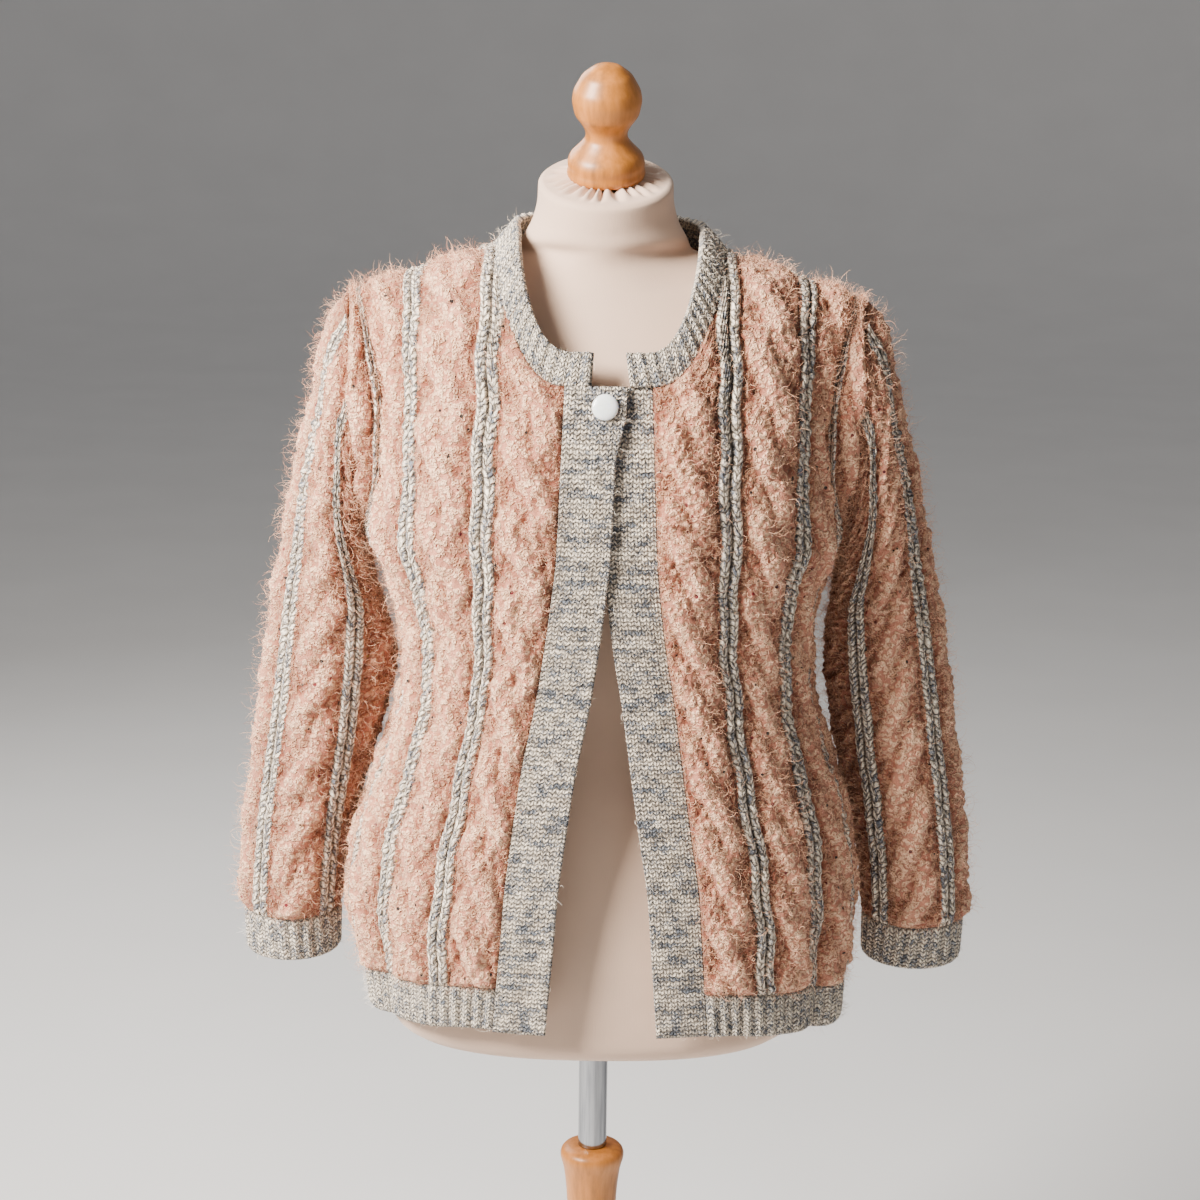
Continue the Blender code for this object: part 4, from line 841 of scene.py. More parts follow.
def marl_look(finish, vector, across, along, wale, row, run, slope):
    """Colour and relief of marl stitches, with painted shade in the hollows between them and painted light on
    their tops; run is the length of one tone of yarn.
    """
    looks = bpy.context.scene.cardigan_looks
    ecru = tuple(looks.marl_light)
    grey = tuple(looks.marl_dark)
    numbered, relief = stitches(finish, across, along, wale, row, slope)
    join = finish.tree.nodes.new("ShaderNodeCombineXYZ")
    finish.link(finish.maths("DIVIDE", across, run), join.inputs[0])
    finish.link(finish.maths("MULTIPLY", numbered, 7.31), join.inputs[1])
    streaks = finish.noise(join.outputs[0], 1.0, 2.0, 0.6)
    plies = finish.noise(vector, 760.0, 2.0, 0.75)
    tone = finish.weighted(streaks, 0.56, plies, 0.50)
    middle = tuple(0.5 * a + 0.5 * b for a, b in zip(ecru, (0.38, 0.34, 0.30)))
    colour = finish.ramp(tone, [(0.42, grey), (0.475, tuple(1.9 * value for value in grey)),
                                (0.51, middle), (0.555, ecru), (0.66, tuple(1.15 * v for v in ecru))])
    # Painted shade in the hollows between stitches and painted light on their tops
    stitch_shade = finish.ramp(relief, [(0.05, (0.10, 0.09, 0.085)), (0.45, (0.60, 0.585, 0.57)),
                                  (0.95, (1.22, 1.21, 1.20))])
    return finish.mix("MULTIPLY", 1.0, colour, stitch_shade), finish.weighted(relief, 0.8, plies, 0.35)


def map_places(finish):
    """Places across and along the flat knitting, in metres."""
    source = finish.tree.nodes.new("ShaderNodeUVMap")
    source.uv_map = "knitting"
    split = finish.tree.nodes.new("ShaderNodeSeparateXYZ")
    finish.link(source.outputs["UV"], split.inputs[0])
    return split.outputs[0], split.outputs[1]


def stripe_share(finish, vector, inside, pitch):
    """1 on a corded stripe and 0 on a cable, with ragged edges."""
    edge = finish.maths("ADD", inside, finish.swing(vector, 240.0, 0.0048, 2.0, 0.7))
    stripe = finish.maths("GREATER_THAN", edge, CABLE_WIDTH + 0.0006)
    stripe = finish.maths("MULTIPLY", stripe, finish.maths("LESS_THAN", edge, pitch - 0.0012))
    return finish.maths("MULTIPLY", stripe, finish.maths("SUBTRACT", 1.0, finish.number("plain")), True)


def cord_look(finish, vector, on_cord, along):
    """Colour and relief of the two marl cords of a stripe, with painted shade in the trough between them and
    along their outer edges.
    """
    knots = finish.maths("MULTIPLY", finish.noise(vector, 120.0, 2.0, 0.7), 0.0125)
    bent = finish.swing(warped(finish, vector, 90.0, 0.01), 150.0, 0.0060)
    marl, relief = marl_look(finish, vector, finish.maths("ADD", on_cord, bent),
                             finish.maths("ADD", along, knots), STRIPE_WIDTH / 2, 0.0058, 0.004, 1.7)
    halves = finish.maths("MULTIPLY", finish.maths("DIVIDE", on_cord, STRIPE_WIDTH), 2.0)
    trough = finish.maths("SINE", finish.maths("MULTIPLY", finish.maths("FRACT", halves), math.pi))
    # Painted shade in the trough between the cords and along their outer edges
    dark = finish.ramp(trough, [(0.0, (0.12, 0.105, 0.095)), (0.35, (0.62, 0.60, 0.58)),
                                (0.70, (1.0, 1.0, 1.0))])
    return finish.mix("MULTIPLY", 1.0, marl, dark), relief


def panel_yarns():
    """Pink cables between corded marl stripes, as one knitting."""
    finish = Finish("pink cables and marl cords")
    if not finish.fresh:
        return finish.material
    vector = finish.coordinates("object", (1.0, 1.0, 1.0))
    pink, pink_relief = pink_look(finish, vector)
    across, along = map_places(finish)
    pitch = CABLE_WIDTH + STRIPE_WIDTH
    inside = finish.maths("MULTIPLY", finish.maths("FRACT", finish.maths("DIVIDE", across, pitch)), pitch)
    stripe = stripe_share(finish, vector, inside, pitch)
    marl, marl_relief = cord_look(finish, vector, finish.maths("SUBTRACT", inside, CABLE_WIDTH), along)
    colour = finish.mix("MIX", stripe, pink, marl)
    relief = finish.weighted(marl_relief, stripe, pink_relief, finish.maths("SUBTRACT", 1.0, stripe))
    finish.bump(relief, 1.0, 0.0025)
    finish.surface(colour, Roughness=0.92, Sheen_Weight=0.32, Sheen_Roughness=0.55,
                   Specular_IOR_Level=0.10)
    finish.shader.inputs["Sheen Tint"].default_value = (1.0, 0.82, 0.70, 1.0)
    return finish.material


def pink_fuzz():
    """Single fibres and curls that stand off the pink knitting."""
    finish = Finish("pink mohair fibres")
    if not finish.fresh:
        return finish.material
    looks = bpy.context.scene.cardigan_looks
    tone = finish.number("tone")
    light = tuple(looks.pink_light)
    deep = tuple(looks.pink_deep)
    pale = tuple(min(1.0, value * 1.07 + 0.015) for value in light)
    colour = finish.ramp(tone, [(0.0, deep), (0.50, light), (1.0, pale)])
    finish.surface(colour, Roughness=0.85, Sheen_Weight=0.5, Sheen_Roughness=0.5,
                   Specular_IOR_Level=0.15)
    return finish.material


def marl_yarn(ribbed=False):
    """Marl of ecru, grey and blue grey strands in small stitches, with painted shade where the knitting lies
    low.
    """
    finish = Finish("marl yarn in ribs" if ribbed else "marl yarn")
    if not finish.fresh:
        return finish.material
    vector = finish.coordinates("object", (1.0, 1.0, 1.0))
    across, along = map_places(finish)
    run = 0.006 if ribbed else 0.017
    wave = finish.maths("MULTIPLY", finish.noise(vector, 230.0, 2.0, 0.7), 0.0042)
    lean = finish.maths("MULTIPLY", finish.noise(warped(finish, vector, 90.0, 0.01), 210.0), 0.0036)
    colour, relief = marl_look(finish, vector, finish.maths("ADD", across, lean),
                               finish.maths("ADD", along, wave), STITCH_WIDTH, ROW_HEIGHT, run,
                               1.4 if ribbed else 0.95)
    # Painted shade where the knitting lies low, set by the raised height
    relief_shade = finish.ramp(finish.number("raised"), [(0.0, (0.55, 0.53, 0.52)), (0.5, (0.95, 0.94, 0.93)),
                                                 (1.0, (1.04, 1.04, 1.03))])
    colour = finish.mix("MULTIPLY", 1.0, colour, relief_shade)
    finish.bump(relief, 1.0, 0.0027)
    finish.surface(colour, Roughness=0.9, Sheen_Weight=0.25, Sheen_Roughness=0.5,
                   Specular_IOR_Level=0.12)
    return finish.material


def marl_fuzz():
    """Short pale fibres on the marl edges."""
    finish = Finish("marl fibres")
    if not finish.fresh:
        return finish.material
    tone = finish.number("tone")
    looks = bpy.context.scene.cardigan_looks
    colour = finish.ramp(tone, [(0.0, (0.40, 0.36, 0.32)), (0.4, tuple(looks.marl_light)),
                                (1.0, (0.92, 0.86, 0.80))])
    finish.surface(colour, Roughness=0.85, Specular_IOR_Level=0.15)
    return finish.material


def jersey():
    """Cream stretch jersey over the form."""
    finish = Finish("cream jersey")
    if not finish.fresh:
        return finish.material
    looks = bpy.context.scene.cardigan_looks
    vector = finish.coordinates("object", (1.0, 1.0, 1.0))
    ribs = finish.noise(finish.coordinates("object", (1500.0, 1500.0, 60.0)), 1.0, 2.0, 0.5)
    stains = finish.noise(vector, 9.0, 3.0, 0.6)
    base = tuple(looks.jersey)
    dim = tuple(value * 0.90 for value in base)
    colour = finish.ramp(stains, [(0.35, dim), (0.65, base)])
    finish.bump(ribs, 0.35, 0.0004)
    finish.surface(colour, Roughness=0.82, Sheen_Weight=0.25, Sheen_Roughness=0.5,
                   Specular_IOR_Level=0.2)
    return finish.material


def turned_wood():
    """Varnished honey coloured wood with grain along the turning."""
    finish = Finish("varnished honey wood")
    if not finish.fresh:
        return finish.material
    looks = bpy.context.scene.cardigan_looks
    vector = finish.coordinates("object", (1.0, 1.0, 0.16))
    grain = finish.noise(vector, 190.0, 4.0, 0.6)
    broad = finish.noise(vector, 38.0, 2.0, 0.5)
    base = tuple(looks.wood)
    dark = tuple(value * 0.55 for value in base)
    pale = tuple(min(1.0, value * 1.25 + 0.02) for value in base)
    colour = finish.ramp(finish.weighted(grain, 0.5, broad, 0.5), [(0.34, dark), (0.50, base), (0.66, pale)])
    finish.bump(grain, 0.12, 0.0004)
    finish.surface(colour, Roughness=0.46, Coat_Weight=0.22, Coat_Roughness=0.25)
    return finish.material


def chrome():
    """Polished pole with fine wipe marks."""
    finish = Finish("polished chrome")
    if not finish.fresh:
        return finish.material
    vector = finish.coordinates("object", (1.0, 1.0, 0.05))
    marks = finish.noise(vector, 300.0, 3.0, 0.6)
    colour = finish.ramp(marks, [(0.3, (0.24, 0.25, 0.27)), (0.7, (0.40, 0.41, 0.43))])
    finish.bump(marks, 0.05, 0.0002)
    finish.surface(colour, Metallic=1.0, Roughness=0.14)
    return finish.material


def pearl():
    """Milky button with a faint sheen."""
    finish = Finish("pearl button")
    if not finish.fresh:
        return finish.material
    clouds = finish.noise(finish.coordinates("object", (1.0, 1.0, 1.0)), 160.0, 3.0, 0.6)
    colour = finish.ramp(clouds, [(0.3, (0.90, 0.89, 0.88)), (0.7, (0.98, 0.975, 0.97))])
    finish.surface(colour, Roughness=0.22, Coat_Weight=0.6, Coat_Roughness=0.08,
                   Subsurface_Weight=0.15)
    return finish.material


def backdrop_finish():
    """Pale matt studio paper."""
    finish = Finish("pale studio paper")
    if not finish.fresh:
        return finish.material
    clouds = finish.noise(finish.coordinates("object", (1.0, 1.0, 1.0)), 3.0, 2.0, 0.5)
    colour = finish.ramp(clouds, [(0.3, (0.83, 0.83, 0.84)), (0.7, (0.86, 0.86, 0.87))])
    finish.surface(colour, Roughness=0.95)
    return finish.material


# Fuzz
def fibres(name, roots, outward, lengths, stand, curl, width, seed, finish, slot):
    """Many fine curved fibres joined in one mesh, rooted on the knitting."""
    rng = np.random.default_rng(seed)
    count = len(roots)
    joints = FIBRE_JOINTS
    around = unit(np.cross(outward, unit(rng.normal(size=(count, 3)))))
    heading = unit(outward * stand[:, None] + around * (1.0 - stand[:, None]))
    axis = unit(np.cross(heading, unit(rng.normal(size=(count, 3)))))
    step = lengths / (joints - 1)
    line = [roots]
    bend = curl / (joints - 1)
    for _ in range(joints - 1):
        line.append(line[-1] + heading * step[:, None])
        turned = heading * np.cos(bend)[:, None] + np.cross(axis, heading) * np.sin(bend)[:, None]
        heading = unit(turned)
    line = np.stack(line, axis=1)
    flat = unit(np.cross(np.gradient(line, axis=1), axis[:, None, :] + 0.3 * outward[:, None, :]))
    taper = np.array(FIBRE_TAPER)[None, :, None]
    half = flat * (width[:, None, None] / 2) * taper
    pairs = np.stack([line - half, line + half], axis=2)
    numbers = np.arange(count * joints * 2).reshape(count, joints, 2)
    faces = np.stack([numbers[:, :-1, 0], numbers[:, :-1, 1], numbers[:, 1:, 1],
                      numbers[:, 1:, 0]], axis=-1).reshape(-1, 4)
    mesh = mesh_from(name, pairs + OFFSET, faces)
    tone = np.repeat(rng.uniform(0.0, 1.0, count), joints * 2)
    add_numbers(mesh, "tone", tone)
    mesh.materials.append(finish)
    return place(mesh, name, slot)


def scatter(outer, directions, allowed, count, seed):
    """Roots and directions at random places on a fine grid."""
    rng = np.random.default_rng(seed)
    numbers = np.flatnonzero(allowed.ravel())
    chosen = rng.choice(numbers, size=min(count, len(numbers)), replace=len(numbers) < count)
    points = outer.reshape(-1, 3)[chosen]
    points = points + rng.normal(scale=0.0009, size=points.shape)
    return points, directions.reshape(-1, 3)[chosen], rng


def add_fuzz(name, outer, directions, pink, count, seed, stray_share):
    """Close curls and some long stray hairs over the pink knitting."""
    roots, outward, rng = scatter(outer, directions, pink, count, seed)
    size = len(roots)
    stray = rng.uniform(size=size) < stray_share
    lengths = np.where(stray, rng.uniform(0.006, 0.0170, size), rng.uniform(0.0040, 0.0080, size))
    stand = np.where(stray, rng.uniform(0.40, 0.90, size), rng.uniform(0.10, 0.45, size))
    curl = np.where(stray, rng.uniform(0.6, 2.6, size), rng.uniform(1.6, 4.0, size))
    width = np.where(stray, 0.00020, rng.uniform(0.00025, 0.00045, size))
    return fibres(name, roots - outward * 0.0003, outward, lengths, stand, curl, width, seed + 1,
                  pink_fuzz(), "mohair_pink")


# Garment pieces
def dress_panel(name, cloth, knit, node, fuzz_count, seed, turned):
    """One body panel with its raised knitting and fuzz."""
    rows, columns = cloth.points.shape[:2]
    share = edge_fade(rows, columns, 4, 5, 3, 4) * np.clip(crowding(cloth.points) * 1.6, 0.0, 1.0)
    share = share * (0.50 + 0.50 * ease((rows - 1 - np.arange(rows))[:, None] / 30.0))
    height = knit.height * share
    outer = cloth.points + cloth.directions * (WALL + height)[..., None]
    mesh = cloth_mesh(name, outer, cloth.points, turned=turned)
    # The raised height also sets the painted relief shade and crest light of the pink yarn
    add_numbers(mesh, "raised", np.clip(height / FULLY_RAISED, 0.0, 1.0), 0.5)
    add_numbers(mesh, "plain", np.zeros(height.size), 1.0)
    add_map(mesh, knit.place, cloth.lengths)
    mesh.materials.append(panel_yarns())
    piece = place(mesh, name, "mohair_pink", node)
    crossing = np.random.default_rng(seed + 7).uniform(size=knit.pink.shape) < CROSSING_SHARE
    fuzz = add_fuzz(name + "_fuzz", outer, cloth.directions, knit.pink | crossing, fuzz_count, seed,
                    PANEL_STRAYS)


def build_front(side):
    """One front of the cardigan."""
    looks = bpy.context.scene.cardigan_looks
    wales = np.linspace(0.0, FRONT_WIDTH, looks.wales_per_front)
    cloth = body_cloth(side, True, wales, *FRONT_ROWS)
    knit = panel_knit(wales, cloth.lengths, CABLE_WIDTH, STRIPE_WIDTH, 11 + side, side)
    name = SIDES[side].name
    dress_panel("knit_front_" + name, cloth, knit, "front_" + name,
                int(looks.curls * 0.23), 31 + side, side == RIGHT)


def build_back():
    """The back of the cardigan in one piece."""
    looks = bpy.context.scene.cardigan_looks
    wales = np.linspace(0.0, BACK_HALF_WIDTH, int(looks.wales_per_front * 0.86))
    right = body_cloth(RIGHT, False, wales, *BACK_ROWS)
    left = body_cloth(LEFT, False, wales, *BACK_ROWS)
    points = np.concatenate([right.points[:, ::-1], left.points[:, 1:]], axis=1)
    directions = np.concatenate([right.directions[:, ::-1], left.directions[:, 1:]], axis=1)
    directions = soften(directions, 1)
    lengths = np.concatenate([right.lengths[:, ::-1], left.lengths[:, 1:]], axis=1)
    signed = np.concatenate([-wales[::-1], wales[1:]])
    repeats = 8 * (BACK_CABLE_WIDTH + BACK_STRIPE_WIDTH)
    across = repeats - signed + BACK_CABLE_WIDTH / 2
    knit = panel_knit(across, lengths, BACK_CABLE_WIDTH, BACK_STRIPE_WIDTH, 23)
    cloth = Cloth(points, directions, signed, lengths)
    dress_panel("knit_back", cloth, knit, "back", int(looks.curls * 0.20), 41,
                False)


def seam_column(side):
    """Points and directions of the seam between a front and its band."""
    cloth = body_cloth(side, True, [0.0, 0.004, 0.008], *FRONT_ROWS)
    return cloth.points[:, 0], cloth.directions[:, 0]


def band_cloth(side, columns):
    """Inner face and directions of a front band, seam edge first and bottom row first."""
    seam, direction = seam_column(side)
    foot_heights = np.linspace(SIDES[side].hem_front, seam[0, 2], 16)[:-1]
    foot = body_points(side, 0.0, foot_heights)
    seam = np.concatenate([foot, seam])
    direction = np.concatenate([np.repeat(direction[:1], len(foot), axis=0), direction])
    heights = seam[:, 2]
    near_top = ease((heights - 1.16) / 0.04)
    width = BAND_WIDTH + (BAND_TOP_WIDTH - BAND_WIDTH) * near_top
    reach = body_value(SIDES[side].name, heights)
    flat = (1.0 - (np.abs(seam[:, 0]) / reach) ** SQUARENESS) ** (1 / SQUARENESS)
    shares = np.linspace(0.0, 1.0, columns)
    grid = np.zeros((len(seam), columns, 3))
    turned = np.zeros_like(grid)
    for column, share in enumerate(shares):
        local = np.abs(seam[:, 0]) - SEAM_GAP / 2 - (width - SEAM_GAP / 2) * share
        round_part = (1.0 - (np.abs(local) / reach) ** SQUARENESS) ** (1 / SQUARENESS)
        grid[:, column] = np.stack([side * local, seam[:, 1] * round_part / flat, heights], axis=-1)
        forward = np.stack([np.full(len(seam), -side * 0.02), np.full(len(seam), -1.0),
                            direction[:, 2]], axis=-1)
        turned[:, column] = unit(direction * (1.0 - share) + forward * share)
    grid += turned * SIDES[side].band_lift
    return grid, turned, width


def stitch_height(across, along, width=STITCH_WIDTH):
    """Softly raised columns of stitches."""
    leg = np.abs(across / width - np.floor(across / width) - 0.5) * 2.0
    return 0.0006 * np.sin(math.pi * leg) + 0.0004 * uneven(across, along, 0.009, 5)


def marl_piece(name, grid, turned, height, across, along, node, closed=False,
               flip=False, ribbed=False, fuzz=500, seed=3):
    """A strip of marl knitting with its raised stitches and short fibres."""
    outer = grid + turned * (WALL + height)[..., None]
    mesh = cloth_mesh(name, outer, grid, closed=closed, turned=flip)
    # The raised height also sets the painted shade of the marl yarn
    add_numbers(mesh, "raised", np.clip(height / max(float(height.max()), 1e-6), 0.0, 1.0), 0.5)
    add_map(mesh, across, along, closed)
    mesh.materials.append(marl_yarn(ribbed))
    piece = place(mesh, name, "marl_yarn", node)
    roots, outward, rng = scatter(outer, turned, np.ones(height.shape, bool), fuzz, seed)
    size = len(roots)
    lengths = np.where(rng.uniform(size=size) < 0.25, rng.uniform(0.007, 0.0130, size),
                       rng.uniform(0.002, 0.007, size))
    hair = fibres(name + "_fuzz", roots, outward, lengths, rng.uniform(0.25, 0.8, size),
                  rng.uniform(0.4, 2.4, size), np.full(size, 0.00018), seed + 5, marl_fuzz(),
                  "marl_yarn")


def build_band(side):
    """One front band of marl knitting."""
    columns = 34
    grid, turned, width = band_cloth(side, columns)
    across = width[:, None] * np.linspace(0.0, 1.0, columns)[None, :]
    along = walked_along(grid[:, 0])[:, None] + np.zeros_like(across)
    height = stitch_height(across, along) + 0.0007 * uneven(across, along, 0.016, 61 + side)
    height = height * edge_fade(len(grid), columns, 2, 2, 2, 2)
    name = SIDES[side].name
    marl_piece("knit_band_" + name, grid, turned, height, across, along, "band_" + name,
               flip=side == RIGHT, fuzz=900, seed=51 + side)


def build_hem(name, node, stations, seed):
    """Ribbed hem along a run of stations, each a side and a turn round the body."""
    rows = 26
    shares = np.linspace(0.0, 1.0, rows)
    columns = []
    for side, turn in stations:
        low = hem_height(side, turn)
        columns.append(body_points(side, turn, low + (HEM_RIB_HEIGHT - SEAM_GAP) * shares))
    grid = np.array(columns).transpose(1, 0, 2)
    across_way = np.gradient(grid, axis=1)
    along_way = np.gradient(grid, axis=0)
    directions = soften(facing(unit(np.cross(across_way, along_way)), grid * LEVEL), 2)
    across = walked_along(grid[-1])[None, :] + np.zeros((rows, 1))
    along = (HEM_RIB_HEIGHT * shares)[:, None] + np.zeros_like(across)
    rib = np.sin(math.pi * across / RIB_PITCH) ** 2
    height = HEM_RIB_RELIEF * rib + 0.5 * stitch_height(across, along)
    height = height * edge_fade(rows, len(stations), 3, 3, 0, 0)
    flip = winds_inward(across_way, along_way, directions)
    marl_piece(name, grid, directions, height, across, along, node,
               flip=flip, ribbed=True, fuzz=600, seed=seed)


def build_hems():
    """The three hem ribs."""
    for side in (RIGHT, LEFT):
        stations = [(side, share) for share in np.linspace(0.0, 1.0, 170)]
        build_hem("knit_hem_" + SIDES[side].name, "hem_rib_" + SIDES[side].name, stations,
                  71 + side)
    shares = np.linspace(0.0, 1.0, 170)
    stations = [(RIGHT, 1.0 + share) for share in shares]
    stations += [(LEFT, 2.0 - share) for share in shares[1:]]
    build_hem("knit_hem_back", "hem_rib_back", stations, 75)


def neckline_seam(columns):
    """Seam points round the neck, right front to left front."""
    runs = []
    for side in (RIGHT, LEFT):
        run = []
        for wale in np.linspace(0.0, FRONT_NECK_WALE, columns):
            angle = np.array([top_angle(side, wale, True)])
            run.append(upper_points(side, wale, True, angle)[0])
        end = run[0].copy()
        end[0] = side * NECKBAND_ENDS[side]
        end[1] -= 0.0020
        spread = [end + (run[0] - end) * share for share in np.linspace(0.0, 1.0, 6)[:-1]]
        run = spread + run
        runs.append(run[::-1] if side == LEFT else run)
    back = []
    for wale in np.linspace(-BACK_NECK_WALE, BACK_NECK_WALE, columns * 2)[1:-1]:
        side = RIGHT if wale < 0 else LEFT
        angle = np.array([top_angle(side, abs(wale), False)])
        back.append(upper_points(side, abs(wale), False, angle)[0])
    line = np.array(runs[0] + back + runs[1])
    lengths = walked_along(line)
    even = np.linspace(0.0, lengths[-1], 300)
    return np.stack([np.interp(even, lengths, line[:, axis]) for axis in range(3)], axis=-1), even


def build_neckband():
    """The neckband that stands round the neck."""
    seam, even = neckline_seam(24)
    bearing = np.arctan2(np.abs(seam[:, 0]), -(seam[:, 1] - NECK_MIDDLE[1]))
    front = np.cos(bearing).clip(0.0) ** 2
    behind = (-np.cos(bearing)).clip(0.0) ** 2
    aside = np.abs(np.sin(bearing))
    sign = np.sign(seam[:, 0])
    rise = (front[:, None] * np.array([0.0, 0.45, 0.89]) + behind[:, None] * np.array([0.0, -0.20, 0.98])
            + aside[:, None] * np.stack([-sign * 0.69, np.full(len(seam), 0.03),
                                         np.full(len(seam), 0.72)], axis=-1))
    rise = unit(rise)
    rows = 20
    shares = np.linspace(0.0, 1.0, rows)
    grid = seam[None] + rise[None] * (NECKBAND_WIDTH * shares)[:, None, None]
    across_way = np.gradient(grid, axis=1)
    along_way = np.gradient(grid, axis=0)
    directions = facing(unit(np.cross(across_way, along_way)), (grid - NECK_MIDDLE) * LEVEL)
    directions = soften(directions, 6)
    across = even[None, :] + np.zeros((rows, 1))
    along = (NECKBAND_WIDTH * shares)[:, None] + np.zeros_like(across)
    crown = NECK_CROWN * np.sin(math.pi * shares)[:, None]
    rib = np.sin(math.pi * across / NECK_RIB_PITCH) ** 2
    height = crown + NECK_RIB_RELIEF * rib + stitch_height(across, along, NECK_STITCH_WIDTH)
    flip = winds_inward(across_way, along_way, directions)
    marl_piece("knit_neckband", grid, directions, height, across, along, "neckband",
               flip=flip, ribbed=True, fuzz=900, seed=81)


def sleeve_sections(side):
    """Middle, long half axis and half depth of the sleeve at each row of its table."""
    data = SIDES[side]
    centre, long_axis, outward = armhole_frame(side)
    sections = [(centre + outward * SEAM_GAP, long_axis, ARMHOLE_HALF_DEPTH)]
    last = len(SLEEVE_TABLE) - 2
    for index, row in enumerate(SLEEVE_TABLE):
        fall = float(ease(min(index / last, 1.0)))
        out = data.sleeve_out * fall + (data.tip_x - SIDES[RIGHT].tip_x) * (1.0 - fall)
        inward = data.sleeve_in * fall + (data.underarm_x - SIDES[RIGHT].underarm_x) * (1.0 - fall)
        high = np.array([side * (row.outer_x + out), row.back, row.outer_z])
        low = np.array([side * (row.inner_x + inward), row.back, row.inner_z])
        sections.append(((high + low) / 2, (high - low) / 2, row.half_depth))
    return sections


def sleeve_tube(side, places, signed_count):
    """Points and outward directions of the sleeve, rings by points round it."""
    sections = sleeve_sections(side)
    numbers = np.arange(len(sections))
    centres = np.stack([smooth(numbers, [s[0][a] for s in sections], places) for a in range(3)], axis=-1)
    axes = np.stack([smooth(numbers, [s[1][a] for s in sections], places) for a in range(3)], axis=-1)
    depths = smooth(numbers, [s[2] for s in sections], places)
    angles = np.linspace(-math.pi, math.pi, signed_count, endpoint=False)
    points = centres[:, None] + np.cos(angles)[None, :, None] * axes[:, None]
    points[..., 1] -= np.sin(angles)[None, :] * depths[:, None]
    if side == RIGHT:
        inner_side = (0.5 - 0.5 * np.cos(angles)[None, :]) ** 2
        near = np.exp(-((places[:, None] - SLEEVE_SAG_ROW) / SLEEVE_SAG_SPREAD) ** 2)
        points[..., 0] += SLEEVE_SAG * near * inner_side
    across_way = np.roll(points, -1, axis=1) - np.roll(points, 1, axis=1)
    directions = unit(np.cross(across_way, np.gradient(points, axis=0)))
    directions = facing(directions, points - centres[:, None])
    steps = np.linalg.norm(np.roll(points, -1, axis=1) - points, axis=2)
    middle = signed_count // 2
    walked = np.cumsum(steps, axis=1) - steps
    walked = walked - walked[:, middle:middle + 1]
    return points, soften(directions, 2, closed=True), walked, walked_along(points[:, middle])


def tube_winds_inward(points, directions):
    """Whether the faces of a tube's grid would look inward."""
    return winds_inward(np.roll(points, -1, axis=1) - points, np.gradient(points, axis=0), directions)


def sleeve_knit(side, walked, lengths):
    """Knitting of a sleeve, its lengths along the wales and where it is plain."""
    wale = (np.abs(walked) - np.where(walked >= 0, SLEEVE_TURN, -SLEEVE_TURN)) / SLEEVE_SHRINK
    along = -lengths[:, None] + np.zeros_like(wale)
    far = np.abs(np.abs(wale) + 0.0011 * uneven(np.zeros_like(along), along, 0.07, 91 + side))
    half = CABLE_WIDTH / 2
    pitch = CABLE_WIDTH + STRIPE_WIDTH
    shifted = far + half
    place_in = shifted - np.floor(shifted / pitch) * pitch
    plain = far > half + 2 * STRIPE_WIDTH + CABLE_WIDTH
    in_cable = (place_in < CABLE_WIDTH) | plain
    handed = np.where(walked < 0, -1.0, 1.0) * side
    rope = cable_height((np.clip(place_in / CABLE_WIDTH, 0.0, 1.0) * 2.0 - 1.0) * handed, along,
                        CABLE_WIDTH)
    rope = rope * (1.0 - 0.6 * ease((far - half - 2 * STRIPE_WIDTH - CABLE_WIDTH) / 0.004))
    cords = cord_height(((place_in - CABLE_WIDTH) / STRIPE_WIDTH) * 2.0 - 1.0, along)
    height = np.where(in_cable, 0.85 * rope + loop_height(far, along, 95 + side), cords)
    rows = np.arange(len(lengths))[:, None]
    height = height * ease(0.15 + rows / 22.0) * ease(0.3 + (len(lengths) - 1 - rows) / 5.0)
    return Knit(height, in_cable, shifted), along, plain


def build_sleeve(side):
    """One sleeve from the armhole to the top of the cuff."""
    looks = bpy.context.scene.cardigan_looks
    places = np.linspace(0.0, len(SLEEVE_TABLE) - 1, 241)
    points, directions, walked, lengths = sleeve_tube(side, places, 120)
    knit, along, plain = sleeve_knit(side, walked, lengths)
    outer = points + directions * (WALL + knit.height)[..., None]
    name = "knit_sleeve_" + SIDES[side].name
    mesh = cloth_mesh(name, outer, points, closed=True, turned=tube_winds_inward(points, directions))
    # The raised height also sets the painted relief shade and crest light of the pink yarn
    add_numbers(mesh, "raised", np.clip(knit.height / FULLY_RAISED, 0.0, 1.0), 0.5)
    add_numbers(mesh, "plain", plain, 1.0)
    add_map(mesh, knit.place, along, True)
    mesh.materials.append(panel_yarns())
    piece = place(mesh, name, "mohair_pink", "sleeve_" + SIDES[side].name)
    crossing = np.random.default_rng(93 + side).uniform(size=knit.pink.shape) < CROSSING_SHARE
    fuzz = add_fuzz(name + "_fuzz", outer, directions, knit.pink | crossing, int(looks.curls * 0.20),
                    97 + side, SLEEVE_STRAYS)


def build_cuff(side):
    """The ribbed cuff at the end of a sleeve."""
    last = len(SLEEVE_TABLE)
    columns = 200
    places = np.linspace(last - 1, last, 30)
    points, directions, walked, _ = sleeve_tube(side, places, columns)
    points = points - np.array([0.0, 0.0, SEAM_GAP])
    along = -(places - places[0])[:, None] * CUFF_HEIGHT + np.zeros_like(walked)
    rib = np.sin(math.pi * walked / RIB_PITCH) ** 2
    height = CUFF_RIB_RELIEF * rib + 0.5 * stitch_height(walked, along)
    height = height * edge_fade(len(places), columns, 3, 3, 0, 0)
    turned = tube_winds_inward(points, directions)
    name = SIDES[side].name
    marl_piece("knit_cuff_" + name, points, directions, height, walked, along, "cuff_" + name,
               closed=True, flip=turned, ribbed=True,
               fuzz=400, seed=101 + side)


